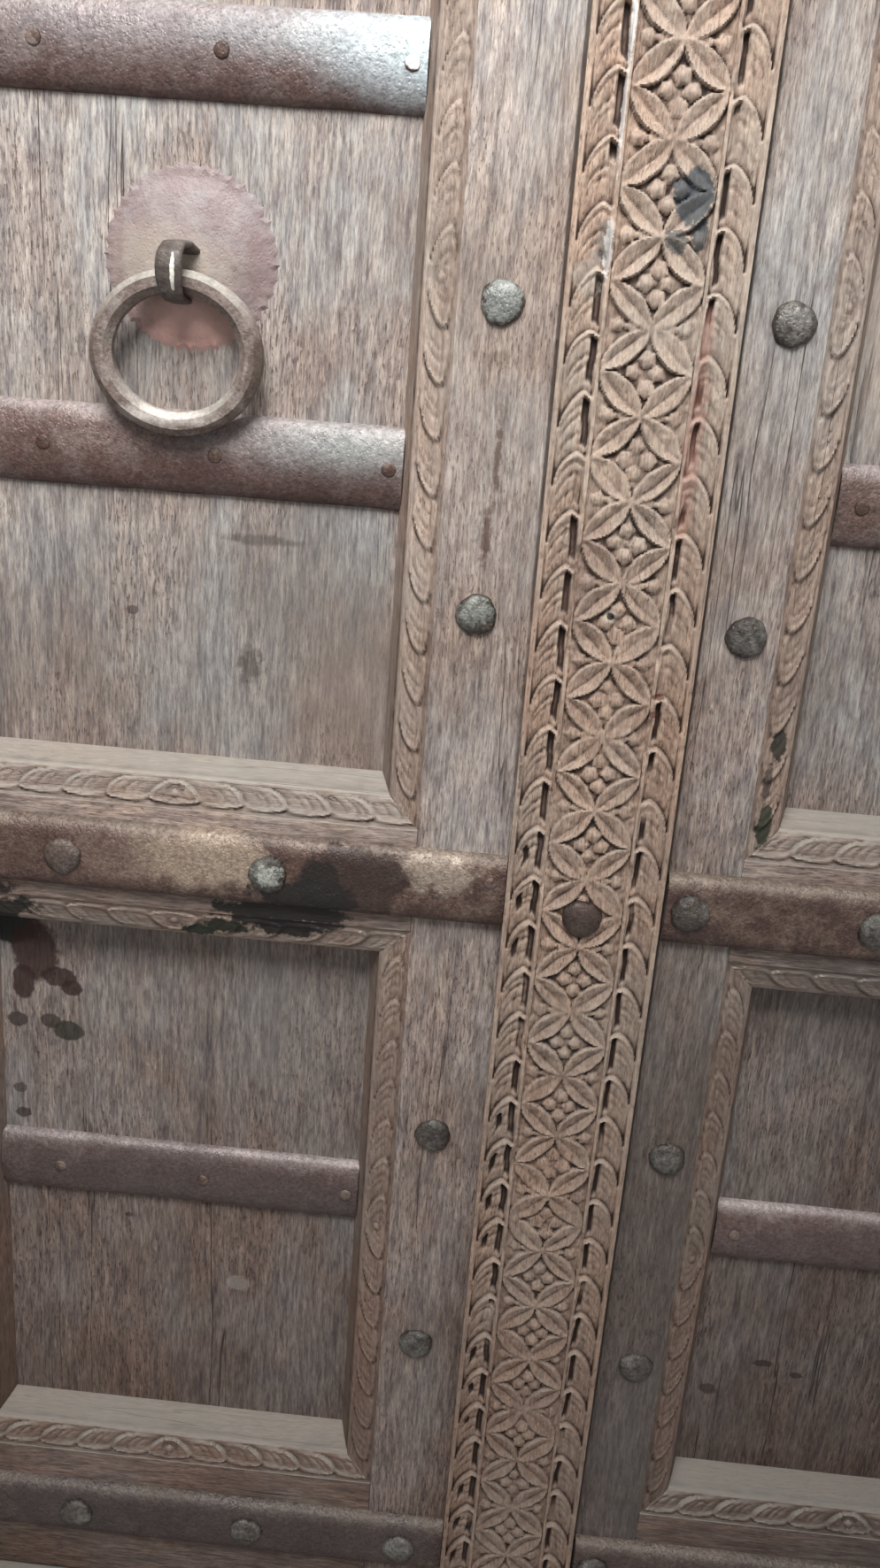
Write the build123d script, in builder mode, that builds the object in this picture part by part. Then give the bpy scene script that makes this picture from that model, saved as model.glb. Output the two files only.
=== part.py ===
from build123d import *
import os
from math import atan2, cos, degrees, pi, sin

os.makedirs("parts", exist_ok=True)

# All sizes in mm. Leaves: two framed and panelled leaves behind a front stop
leaf_thick = 50
leaf_bottom = 64
leaf_height = 2008
leaf_face_y = -8.5
hinge_edge_x = 490
hinge_stile_width = {"left": 60, "right": 70}
meeting_x = {"left": 26.5, "right": 29.5}
flat_inner_x = {"left": -110, "right": 100}
side_sign = {"left": -1, "right": 1}

# Rails, and the shares of the three openings in the height between them
end_rail_height = 123
middle_rail_height = 72
opening_shares = {"lower": 475, "middle": 668, "upper": 475}

# Sunk moulding worked on the inner edge of every stile and rail
mould_width = 20
mould_step = 1
mould_drop = 9
ledge_run = 8
panel_depth = 32
panel_thick = 10
panel_play = 1
groove_depth = 10
back_lip = 4
leaf_pitch = 32
leaf_relief = 2
leaf_tip = 3
leaf_notch = 10.5
leaf_root = 18.5
leaf_lean = 0.62
leaf_mitre_room = 4

# Tenons of the rails in the stiles
tenon_thick = 14
tenon_length = 40
tenon_front = 30
tenon_inset = 10

# Hinge pins turned on the ends of the outer stiles
pin_radius = 20
pin_play = 1
pin_top_length = 40
pin_head_room = 8
cup_side = 54
cup_floor = 4
cup_depth = 30
pin_end_gap = 0.5

# Frame
frame_depth = 120
post_width = 81
stop_depth = 50
stop_gap = 1.5
stop_lap = 16
edge_gap = 3
threshold_height = 60
lintel_rise = 80
lintel_gap = 4
stop_drop = 14
post_back = 2
post_tenon = 40
post_tenon_depth = 24
peg_side = 12
peg_length = 84
frame_chamfer = 4

# Carved cover strip on the left leaf
strip_width = 100
strip_ground = 12
strip_foot_gap = 2
strip_head_gap = 18
strip_rim = 2.5
strip_rim_height = 15
list_x = 27.5
list_width = 3
list_height = 17.5
strip_relief = 1.2
cell = 47.4
crossing_margin = 34.6
petal_width = 11
petal_height = 4.5
petal_gap = 0.8
flower_reach = 9
flower_waist = 3.8
flower_height = 3.5
border_pitch = 32.8
border_tip = 4
border_notch = 12
border_lean = 0.7
border_height = 2

# Iron straps, studs and nails
strap_width = 50
strap_rise = 9.5
strap_crest = 23
strap_edge = 1.5
shoulder_in = 4.5
shoulder_rise = 6.2
strap_hinge_gap = 24
strap_inner_x = {"left": -53, "right": 54}
end_strap_in = 71
panel_strap_shares = {"lower": (0.52,), "middle": (0.335, 0.665), "upper": (0.48,)}
panel_strap_gap = 0.5
stud_radius = 12.75
stud_sides = 8
stud_height = 6
stud_top_radius = 7.5
nail_radius = 3.8
nail_sides = 5
nail_height = 1.2
stile_stud_shares = {"lower": (0.295, 0.676), "middle": (0.2156, 0.4835, 0.7695), "upper": (0.324, 0.705)}
hinge_stud_in = {"left": 38, "right": 40}
inner_stud_x = {"left": -84, "right": 80}
strap_stud_shares = {"left": (-0.444, 0.406), "right": (-0.444, 0.425)}
end_nail_x = -60
end_nail_lift = 8
panel_nail_shares = {"left": (-0.556, 0.1125, 0.781), "right": (-0.744, -0.0625, 0.619)}
right_strap_end_stud_x = 69
strip_stud_in = (34, 28)
strip_stud_shift = 8

# Ring pulls
pull_shift = 4
plate_lift = 1
plate_radius = 53
plate_teeth = 40
tooth_depth = 4
plate_thick = 2
dome_sides = 20
dome_steps = ((45, 0), (35, 3.6), (19, 6.8), (5, 8))
ring_half_width = 52
ring_half_height = 47.5
ring_thick = 14
ring_chamfer = 4
ring_sides = 20
eye_sides = 20
ring_y = 6
ring_drop = 53.5
eye_width = 12
eye_thick = 3.5
eye_play = 1
eye_lift = 6
eye_bend_y = 4
eye_clench = 18
eye_fit = 0.15

# Places that follow from the sizes
leaf_top = leaf_bottom + leaf_height
open_height = leaf_height - 2 * (end_rail_height + middle_rail_height)
rail_spans = {"bottom": (leaf_bottom, leaf_bottom + end_rail_height)}
openings = {}
low = rail_spans["bottom"][1]
for name, rail_above, rail_height in (
    ("lower", "lower", middle_rail_height),
    ("middle", "upper", middle_rail_height),
    ("upper", "top", end_rail_height),
):
    high = low + open_height * opening_shares[name] / sum(opening_shares.values())
    openings[name] = (low, high)
    rail_spans[rail_above] = (high, high + rail_height)
    low = high + rail_height
rail_strap_z = {name: (low + high) / 2 for name, (low, high) in rail_spans.items()}
rail_strap_z["bottom"] = leaf_bottom + end_strap_in
rail_strap_z["top"] = leaf_top - end_strap_in


# Heights at given shares of an opening
def heights_in(opening, shares):
    low, high = openings[opening]
    return [low + share * (high - low) for share in shares]


panel_strap_z = {name: heights_in(name, shares) for name, shares in panel_strap_shares.items()}
stile_stud_z = [z for name, shares in stile_stud_shares.items() for z in heights_in(name, shares)]
flat_hinge_x = {side: sign * (hinge_edge_x - hinge_stile_width[side]) for side, sign in side_sign.items()}
pin_y = leaf_face_y + leaf_thick / 2
pin_x = hinge_edge_x - leaf_thick / 2
frame_front_y = -frame_depth / 2
frame_back_y = frame_depth / 2
stop_back_y = frame_front_y + stop_depth
stop_inner_x = hinge_edge_x - stop_lap
post_inner_x = hinge_edge_x + edge_gap
frame_half_width = post_inner_x + post_width
lintel_rear_z = leaf_top + lintel_gap
lintel_top = lintel_rear_z + lintel_rise
lintel_front_z = leaf_top - stop_drop
panel_front_y = leaf_face_y + panel_depth
panel_back_y = panel_front_y + panel_thick
centre_x = {side: (flat_inner_x[side] + flat_hinge_x[side]) / 2 for side in side_sign}
pull_x = {side: centre_x[side] + sign * pull_shift for side, sign in side_sign.items()}
plate_z = sum(openings["middle"]) / 2 + plate_lift
ring_z = plate_z - ring_drop
eye_upper_z = plate_z + eye_lift
strip_bottom = leaf_bottom + strip_foot_gap
strip_top = leaf_top - strip_head_gap
strip_stud_z = (
    strip_bottom + strip_stud_in[0],
    rail_strap_z["lower"] - strip_stud_shift,
    rail_strap_z["upper"] + strip_stud_shift,
    strip_top - strip_stud_in[1],
)
toe = mould_width + ledge_run


# A plane whose normal points out of the door, at a spot on it
def outward(y, x=0, z=0):
    return Plane(origin=(x, y, z), x_dir=(1, 0, 0), z_dir=(0, -1, 0))


front = outward(leaf_face_y)


# One length of sunk moulding: length on X, width on Y, face of the leaf at Z 0.
# Both ends are mitred and the leaf row turns round at the middle.
def moulding(length):
    with BuildPart() as strip:
        with BuildSketch(Plane.YZ):
            with BuildLine():
                Polyline(
                    (0, -mould_step),
                    (mould_width, -mould_drop),
                    (toe, -panel_depth),
                    (toe - groove_depth, -panel_depth),
                    (toe - groove_depth, -panel_depth - panel_thick),
                    (toe - back_lip, -panel_depth - panel_thick),
                    (toe - back_lip, -leaf_thick),
                    (0, -leaf_thick),
                    close=True,
                )
            make_face()
        extrude(amount=length)
        split(bisect_by=Plane(origin=(0, 0, 0), z_dir=(1, -1, 0)), keep=Keep.TOP)
        split(bisect_by=Plane(origin=(length, 0, 0), z_dir=(-1, -1, 0)), keep=Keep.TOP)
        slope = Plane(
            origin=(length / 2, 0, -mould_step),
            x_dir=(1, 0, 0),
            z_dir=(0, mould_drop - mould_step, mould_width),
        )
        reach = length / 2 - mould_width - leaf_mitre_room
        count = int(reach // leaf_pitch)
        pitch = reach / count
        half = []
        for step in range(count):
            half += [(step * pitch + 1, leaf_notch), ((step + leaf_lean) * pitch, leaf_tip)]
        half += [(reach, leaf_notch), (reach, leaf_root)]
        outline = half + [(-x, y) for x, y in reversed(half)]
        with BuildSketch(slope):
            with BuildLine():
                Polyline(*outline, close=True)
            make_face()
        extrude(amount=leaf_relief)
    return strip.part


# Where a moulding lies: along the rail under or over an opening, or up a stile
def moulding_place(x, z, run):
    return Plane(origin=(x, leaf_face_y, z), x_dir=run, z_dir=(0, -1, 0)).location


# One domed stud head, forged with flats
with BuildPart() as stud:
    with BuildSketch():
        RegularPolygon(stud_radius, stud_sides)
    flat_in = (stud_radius - stud_top_radius) * cos(pi / stud_sides)
    extrude(amount=stud_height, taper=degrees(atan2(flat_in, stud_height)))

# The raised middle of a ring pull plate
with BuildPart() as dome:
    for (radius, rise), (next_radius, next_rise) in zip(dome_steps, dome_steps[1:]):
        with BuildSketch(Plane.XY.offset(rise)):
            RegularPolygon(radius, dome_sides)
        flat_in = (radius - next_radius) * cos(pi / dome_sides)
        extrude(amount=next_rise - rise, taper=degrees(atan2(flat_in, next_rise - rise)))

# The two leaves, piece by piece
for side, sign in side_sign.items():
    low_x = min(flat_inner_x[side], flat_hinge_x[side])
    high_x = max(flat_inner_x[side], flat_hinge_x[side])
    mould_up = [moulding_place(high_x, low, (0, 0, 1)) for low, high in openings.values()]
    mould_down = [moulding_place(low_x, high, (0, 0, -1)) for low, high in openings.values()]
    hinge_moulds = mould_down if side == "left" else mould_up
    inner_moulds = mould_up if side == "left" else mould_down
    stile_moulds = [moulding(high - low) for low, high in openings.values()]
    rail_mould = moulding(high_x - low_x)
    tenon_y = leaf_face_y + tenon_front + tenon_thick / 2
    tenon_places = [
        (x, tenon_y, (low + high) / 2, high - low - 2 * tenon_inset)
        for x in (low_x - tenon_length / 2, high_x + tenon_length / 2)
        for low, high in rail_spans.values()
    ]

    # Outer stile: rounded back edge, hinge pins turned on both ends
    with BuildPart() as hinge_stile:
        with BuildSketch(Plane.XY.offset(leaf_bottom)):
            with Locations((sign * pin_x, pin_y)):
                Circle(leaf_thick / 2)
            with Locations(((sign * pin_x + flat_hinge_x[side]) / 2, pin_y)):
                Rectangle(pin_x - abs(flat_hinge_x[side]), leaf_thick)
        extrude(amount=leaf_height)
        pin_foot = threshold_height - cup_depth + cup_floor + pin_end_gap
        with Locations((sign * pin_x, pin_y, pin_foot)):
            Cylinder(pin_radius, leaf_bottom - pin_foot, align=(Align.CENTER, Align.CENTER, Align.MIN))
        with Locations((sign * pin_x, pin_y, leaf_top)):
            Cylinder(pin_radius, pin_top_length, align=(Align.CENTER, Align.CENTER, Align.MIN))
        for strip, place in zip(stile_moulds, hinge_moulds):
            add(place * strip)
        for x, y, z, height in tenon_places:
            if abs(x) > abs(centre_x[side]):
                with Locations((x, y, z)):
                    Box(tenon_length, tenon_thick, height, mode=Mode.SUBTRACT)
    hinge_stile.part.label = f"{side}_hinge_stile"
    export_step(hinge_stile.part, f"parts/{side}_hinge_stile.step")

    # Inner stile: square meeting edge
    with BuildPart() as meeting_stile:
        with Locations(((meeting_x[side] + flat_inner_x[side]) / 2, pin_y, leaf_bottom + leaf_height / 2)):
            Box(abs(meeting_x[side] - flat_inner_x[side]), leaf_thick, leaf_height)
        for strip, place in zip(stile_moulds, inner_moulds):
            add(place * strip)
        for x, y, z, height in tenon_places:
            if abs(x) < abs(centre_x[side]):
                with Locations((x, y, z)):
                    Box(tenon_length, tenon_thick, height, mode=Mode.SUBTRACT)
    meeting_stile.part.label = f"{side}_meeting_stile"
    export_step(meeting_stile.part, f"parts/{side}_meeting_stile.step")

    # Four rails, tenoned into both stiles
    for name, (low, high) in rail_spans.items():
        with BuildPart() as rail:
            with Locations((centre_x[side], pin_y, (low + high) / 2)):
                Box(high_x - low_x, leaf_thick, high - low)
            with Locations((centre_x[side], tenon_y, (low + high) / 2)):
                Box(high_x - low_x + 2 * tenon_length, tenon_thick, high - low - 2 * tenon_inset)
            if name != "top":
                add(moulding_place(low_x, high, (1, 0, 0)) * rail_mould)
            if name != "bottom":
                add(moulding_place(high_x, low, (-1, 0, 0)) * rail_mould)
        rail.part.label = f"{side}_{name}_rail"
        export_step(rail.part, f"parts/{side}_{name}_rail.step")

    # Three plain panels held in the grooves; the middle one is slotted for the eye
    ring_inner_top = ring_z + (ring_half_height - ring_thick) * cos(pi / ring_sides)
    eye_lower_z = ring_inner_top - eye_play - eye_thick / 2
    eye_slots = [(pull_x[side], panel_front_y, z) for z in (eye_upper_z, eye_lower_z)]
    eye_slot_size = (eye_width + 2 * eye_fit, 3 * panel_thick, eye_thick + 2 * eye_fit)
    panel_margin = 2 * (toe - groove_depth + panel_play)
    for name, (low, high) in openings.items():
        with BuildPart() as panel:
            with Locations((centre_x[side], panel_front_y + panel_thick / 2, (low + high) / 2)):
                Box(high_x - low_x - panel_margin, panel_thick, high - low - panel_margin)
            if name == "middle":
                with Locations(*eye_slots):
                    Box(*eye_slot_size, mode=Mode.SUBTRACT)
        panel.part.label = f"{side}_{name}_panel"
        export_step(panel.part, f"parts/{side}_{name}_panel.step")

    # Iron straps across the rails: a flat crest with rolled shoulders
    half = strap_width / 2
    crest = strap_crest / 2
    shoulder = half - shoulder_in
    strap_hinge_x = hinge_edge_x - strap_hinge_gap
    strap_start = min(strap_inner_x[side], sign * strap_hinge_x)
    strap_length = strap_hinge_x - abs(strap_inner_x[side])
    for name, z in rail_strap_z.items():
        section = Plane(origin=(strap_start, leaf_face_y, z), x_dir=(0, 0, 1), z_dir=(1, 0, 0))
        with BuildPart() as strap:
            with BuildSketch(section):
                with BuildLine():
                    Line((-half, 0), (-half, strap_edge))
                    ThreePointArc((-half, strap_edge), (-shoulder, shoulder_rise), (-crest, strap_rise))
                    Line((-crest, strap_rise), (crest, strap_rise))
                    ThreePointArc((crest, strap_rise), (shoulder, shoulder_rise), (half, strap_edge))
                    Line((half, strap_edge), (half, 0))
                    Line((half, 0), (-half, 0))
                make_face()
            extrude(amount=strap_length)
        strap.part.label = f"{side}_{name}_rail_strap"
        export_step(strap.part, f"parts/{side}_{name}_rail_strap.step")

    # Thinner arched straps across the panels
    for name, heights in panel_strap_z.items():
        for number, z in enumerate(heights, start=1):
            reach = high_x - low_x - 2 * toe - 2 * panel_strap_gap
            start = centre_x[side] - reach / 2
            section = Plane(origin=(start, panel_front_y, z), x_dir=(0, 0, 1), z_dir=(1, 0, 0))
            with BuildPart() as strap:
                with BuildSketch(section):
                    with BuildLine():
                        ThreePointArc((-half, 0), (0, strap_rise), (half, 0))
                        Line((half, 0), (-half, 0))
                    make_face()
                extrude(amount=reach)
            strap.part.label = f"{side}_{name}_panel_strap_{number}"
            export_step(strap.part, f"parts/{side}_{name}_panel_strap_{number}.step")

    # Domed studs down both stiles and along the rail straps
    crest_front = outward(leaf_face_y - strap_rise)
    half_open = (high_x - low_x) / 2
    hinge_stud_x = sign * (hinge_edge_x - hinge_stud_in[side])
    stile_spots = [(x, z) for x in (inner_stud_x[side], hinge_stud_x) for z in stile_stud_z]
    strap_stud_x = [centre_x[side] + share * half_open for share in strap_stud_shares[side]] + [hinge_stud_x]
    strap_spots = [(x, z) for x in strap_stud_x for z in rail_strap_z.values()]
    if side == "left":
        strap_spots += [(inner_stud_x[side], rail_strap_z[name]) for name in ("bottom", "top")]
    else:
        strap_spots += [(right_strap_end_stud_x, z) for z in rail_strap_z.values()]
    with BuildPart() as studs:
        for base, spots in ((front, stile_spots), (crest_front, strap_spots)):
            with Locations(*[base.location * Location((x, z, 0)) for x, z in spots]):
                add(stud.part)
    studs.part.label = f"{side}_studs"
    export_step(studs.part, f"parts/{side}_studs.step")

    # Small flat nails through the straps
    panel_nail_x = [centre_x[side] + share * half_open for share in panel_nail_shares[side]]
    nail_spots = [(x, z) for x in panel_nail_x for row in panel_strap_z.values() for z in row]
    with BuildPart() as nails:
        with BuildSketch(outward(panel_front_y - strap_rise)):
            with Locations(*nail_spots):
                RegularPolygon(nail_radius, nail_sides)
        extrude(amount=nail_height)
        if side == "left":
            with BuildSketch(crest_front):
                end_nail_z = [rail_strap_z[name] + end_nail_lift for name in ("lower", "upper")]
                with Locations(*[(end_nail_x, z) for z in end_nail_z]):
                    RegularPolygon(nail_radius, nail_sides)
            extrude(amount=nail_height)
    nails.part.label = f"{side}_nails"
    export_step(nails.part, f"parts/{side}_nails.step")

    # Ring pull: toothed domed plate, strap eye clenched behind the panel, hanging ring
    with BuildPart() as plate:
        with BuildSketch(outward(panel_front_y, centre_x[side], plate_z)):
            with BuildLine():
                teeth = []
                for step in range(2 * plate_teeth):
                    radius = plate_radius - tooth_depth * (step % 2)
                    angle = pi * step / plate_teeth
                    teeth.append((radius * cos(angle), radius * sin(angle)))
                Polyline(*teeth, close=True)
            make_face()
        extrude(amount=plate_thick)
        with Locations(outward(panel_front_y - plate_thick, centre_x[side], plate_z).location):
            add(dome.part)
        with Locations(*eye_slots):
            Box(*eye_slot_size, mode=Mode.SUBTRACT)
    plate.part.label = f"{side}_pull_plate"
    export_step(plate.part, f"parts/{side}_pull_plate.step")

    bend_z = (eye_upper_z + eye_lower_z) / 2
    bend_radius = (eye_upper_z - eye_lower_z) / 2
    leg_length = panel_back_y + eye_thick - eye_bend_y
    leg_y = eye_bend_y + leg_length / 2
    clench_y = panel_back_y + eye_thick / 2
    with BuildPart() as eye:
        with BuildSketch(Plane.YZ.offset(pull_x[side] - eye_width / 2)):
            with Locations((eye_bend_y, bend_z)):
                RegularPolygon(bend_radius + eye_thick / 2, eye_sides, major_radius=False)
                inner_radius = bend_radius - eye_thick / 2
                RegularPolygon(inner_radius, eye_sides, major_radius=False, mode=Mode.SUBTRACT)
            with Locations((eye_bend_y + bend_radius, bend_z)):
                Rectangle(2 * bend_radius, 4 * bend_radius, mode=Mode.SUBTRACT)
            with Locations((leg_y, eye_upper_z), (leg_y, eye_lower_z)):
                Rectangle(leg_length, eye_thick)
            with Locations((clench_y, eye_upper_z + eye_clench / 2), (clench_y, eye_lower_z - eye_clench / 2)):
                Rectangle(eye_thick, eye_clench)
        extrude(amount=eye_width)
    eye.part.label = f"{side}_pull_eye"
    export_step(eye.part, f"parts/{side}_pull_eye.step")

    with BuildPart() as ring:
        with BuildSketch(outward(ring_y, pull_x[side], ring_z)):
            for inset, mode in ((0, Mode.ADD), (ring_thick, Mode.SUBTRACT)):
                with BuildLine():
                    wide, tall = ring_half_width - inset, ring_half_height - inset
                    turns = [2 * pi * (step + 0.5) / ring_sides for step in range(ring_sides)]
                    Polyline(*[(wide * cos(turn), tall * sin(turn)) for turn in turns], close=True)
                make_face(mode=mode)
        extrude(amount=ring_thick / 2, both=True)
        chamfer(ring.faces().filter_by(Axis.Y).edges(), length=ring_chamfer)
    ring.part.label = f"{side}_pull_ring"
    export_step(ring.part, f"parts/{side}_pull_ring.step")

# Carved strip on the left leaf
strip_front = outward(leaf_face_y - strip_ground)
strip_middle_z = (strip_bottom + strip_top) / 2
strip_length = strip_top - strip_bottom
cell_count = int((strip_length - 2 * crossing_margin) // cell) + 1
crossings = [strip_bottom + crossing_margin + cell * step for step in range(cell_count)]

# One petal and one flower of the lattice, each drawn up to a point
petal_x = (list_x - list_width / 2) / 2
petal_z = cell / 4
petal_length = 2 * (petal_x**2 + petal_z**2) ** 0.5 - 2 * petal_gap
petal_turn = degrees(atan2(petal_z, petal_x))
petal_places = []
for across, along in ((1, 1), (-1, 1), (-1, -1), (1, -1)):
    turn = across * along * petal_turn
    for z in crossings:
        spot = Location((across * petal_x, z + along * petal_z, 0), (0, 0, turn))
        petal_places.append(strip_front.location * spot)
with BuildPart() as petal:
    with BuildSketch() as petal_foot:
        Polygon((-petal_length / 2, 0), (0, -petal_width / 2), (petal_length / 2, 0), (0, petal_width / 2))
    loft(sections=[petal_foot.face(), Vertex(0, 0, petal_height)])
with BuildPart() as flower:
    with BuildSketch() as flower_foot:
        with BuildLine():
            lobes = [((flower_reach, flower_waist)[step % 2], pi * step / 4) for step in range(8)]
            Polyline(*[(reach * cos(turn), reach * sin(turn)) for reach, turn in lobes], close=True)
        make_face()
    loft(sections=[flower_foot.face(), Vertex(0, 0, flower_height)])

with BuildPart() as cover:
    with Locations((0, leaf_face_y - strip_ground / 2, strip_middle_z)):
        Box(strip_width, strip_ground, strip_length)
    # Relief behind the part that laps over the other leaf
    lap_start = (meeting_x["left"] + meeting_x["right"]) / 2
    with Locations(((lap_start + strip_width / 2) / 2, leaf_face_y - strip_relief / 2, strip_middle_z)):
        Box(strip_width / 2 - lap_start, strip_relief, strip_length, mode=Mode.SUBTRACT)
    # Plain rims at the edges and plain lists beside the lattice
    with BuildSketch(strip_front):
        edge = (strip_width - strip_rim) / 2
        with Locations((-edge, strip_middle_z), (edge, strip_middle_z)):
            Rectangle(strip_rim, strip_length)
    extrude(amount=strip_rim_height - strip_ground)
    with BuildSketch(strip_front):
        with Locations((-list_x, strip_middle_z), (list_x, strip_middle_z)):
            Rectangle(list_width, strip_length)
    extrude(amount=list_height - strip_ground)
    # Leaf borders: one saw-edged band on each side, notches towards the list
    border_count = int(strip_length // border_pitch)
    border_start = strip_middle_z - border_count * border_pitch / 2
    root = strip_width / 2 - strip_rim
    tip = list_x + border_tip
    notch = list_x + border_notch
    edge_line = []
    for step in range(border_count):
        base = border_start + step * border_pitch
        edge_line += [(notch, base + 1), (tip, base + border_lean * border_pitch)]
    edge_line += [(notch, border_start + border_count * border_pitch)]
    with BuildSketch(strip_front):
        for hand in (-1, 1):
            with BuildLine():
                points = [(root, edge_line[0][1])] + edge_line + [(root, edge_line[-1][1])]
                Polyline(*[(hand * x, z) for x, z in points], close=True)
            make_face()
    extrude(amount=border_height)
    # Lattice of ridged petals, four to a crossing
    with Locations(*petal_places):
        add(petal.part)
    # A small four-lobed flower in every diamond
    with Locations(*[strip_front.location * Location((0, z + cell / 2, 0)) for z in crossings[:-1]]):
        add(flower.part)
    # Seats of the studs
    with BuildSketch(strip_front):
        with Locations(*[(0, z) for z in strip_stud_z]):
            RegularPolygon(stud_radius, stud_sides)
    extrude(amount=stud_height, mode=Mode.SUBTRACT)
cover.part.label = "cover_strip"
export_step(cover.part, "parts/cover_strip.step")

with BuildPart() as cover_studs:
    with BuildSketch(strip_front):
        with Locations(*[(0, z) for z in strip_stud_z]):
            RegularPolygon(stud_radius, stud_sides)
    extrude(amount=stud_height / 2)
    with Locations(*[strip_front.location * Location((0, z, stud_height / 2)) for z in strip_stud_z]):
        add(stud.part)
cover_studs.part.label = "cover_strip_studs"
export_step(cover_studs.part, "parts/cover_strip_studs.step")

# Frame
post_x = (frame_half_width + post_inner_x) / 2
post_back_y = pin_y + post_back
post_rear_y = (stop_back_y + post_back_y) / 2
peg_y = frame_front_y + peg_length / 2
tenon_z = (threshold_height - post_tenon / 2, lintel_rear_z + post_tenon / 2)
peg_spots = [(x, peg_y, z) for x in (-post_x, post_x) for z in tenon_z]

for side, sign in side_sign.items():
    with BuildPart() as post:
        with BuildSketch(Plane.XY.offset(threshold_height)):
            with BuildLine():
                outline = [
                    (frame_half_width, frame_front_y),
                    (stop_inner_x + frame_chamfer, frame_front_y),
                    (stop_inner_x, frame_front_y + frame_chamfer),
                    (stop_inner_x, stop_back_y),
                    (post_inner_x, stop_back_y),
                    (post_inner_x, post_back_y),
                    (frame_half_width, post_back_y),
                ]
                Polyline(*[(sign * x, y) for x, y in outline], close=True)
            make_face()
        extrude(amount=lintel_front_z - threshold_height)
        rear_depth = post_back_y - stop_back_y
        with Locations((sign * post_x, post_rear_y, (lintel_front_z + lintel_rear_z) / 2)):
            Box(frame_half_width - post_inner_x, rear_depth, lintel_rear_z - lintel_front_z)
        with Locations(*[(sign * post_x, post_rear_y, z) for z in tenon_z]):
            Box(post_tenon, post_tenon_depth, post_tenon)
        with Locations(*peg_spots):
            Box(peg_side, peg_length, peg_side, mode=Mode.SUBTRACT)
    post.part.label = f"frame_{side}_post"
    export_step(post.part, f"parts/frame_{side}_post.step")

    # Iron socket block let into the threshold under each hinge pin
    with BuildPart() as cup:
        with Locations((sign * pin_x, pin_y, threshold_height)):
            Box(cup_side, cup_side, cup_depth, align=(Align.CENTER, Align.CENTER, Align.MAX))
            Cylinder(
                pin_radius + pin_play,
                cup_depth - cup_floor,
                align=(Align.CENTER, Align.CENTER, Align.MAX),
                mode=Mode.SUBTRACT,
            )
    cup.part.label = f"{side}_pin_socket"
    export_step(cup.part, f"parts/{side}_pin_socket.step")

with BuildPart() as lintel:
    with BuildSketch(Plane.YZ.offset(-frame_half_width)):
        with BuildLine():
            Polyline(
                (frame_front_y, lintel_front_z),
                (stop_back_y, lintel_front_z),
                (stop_back_y, lintel_rear_z),
                (frame_back_y, lintel_rear_z),
                (frame_back_y, lintel_top),
                (frame_front_y, lintel_top),
                close=True,
            )
        make_face()
    extrude(amount=2 * frame_half_width)
    with BuildSketch(Plane.YZ.offset(-stop_inner_x)):
        with BuildLine():
            Polyline(
                (frame_front_y, lintel_front_z),
                (frame_front_y + frame_chamfer, lintel_front_z),
                (frame_front_y, lintel_front_z + frame_chamfer),
                close=True,
            )
        make_face()
    extrude(amount=2 * stop_inner_x, mode=Mode.SUBTRACT)
    with Locations((-pin_x, pin_y, lintel_rear_z), (pin_x, pin_y, lintel_rear_z)):
        Cylinder(
            pin_radius + pin_play,
            pin_top_length + pin_head_room,
            align=(Align.CENTER, Align.CENTER, Align.MIN),
            mode=Mode.SUBTRACT,
        )
    with Locations((-post_x, post_rear_y, tenon_z[1]), (post_x, post_rear_y, tenon_z[1])):
        Box(post_tenon, post_tenon_depth, post_tenon, mode=Mode.SUBTRACT)
    with Locations(*peg_spots):
        Box(peg_side, peg_length, peg_side, mode=Mode.SUBTRACT)
lintel.part.label = "frame_lintel"
export_step(lintel.part, "parts/frame_lintel.step")

with BuildPart() as threshold:
    with Locations((0, 0, threshold_height / 2)):
        Box(2 * frame_half_width, frame_depth, threshold_height)
    with Locations((-pin_x, pin_y, threshold_height), (pin_x, pin_y, threshold_height)):
        Box(
            cup_side,
            cup_side,
            cup_depth,
            align=(Align.CENTER, Align.CENTER, Align.MAX),
            mode=Mode.SUBTRACT,
        )
    with Locations((-post_x, post_rear_y, tenon_z[0]), (post_x, post_rear_y, tenon_z[0])):
        Box(post_tenon, post_tenon_depth, post_tenon, mode=Mode.SUBTRACT)
    with Locations(*peg_spots):
        Box(peg_side, peg_length, peg_side, mode=Mode.SUBTRACT)
threshold.part.label = "frame_threshold"
export_step(threshold.part, "parts/frame_threshold.step")

with BuildPart() as pegs:
    with Locations(*peg_spots):
        Box(peg_side, peg_length, peg_side)
pegs.part.label = "frame_pegs"
export_step(pegs.part, "parts/frame_pegs.step")
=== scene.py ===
import math

import bpy
import numpy as np
from mathutils import Matrix, Vector


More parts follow.
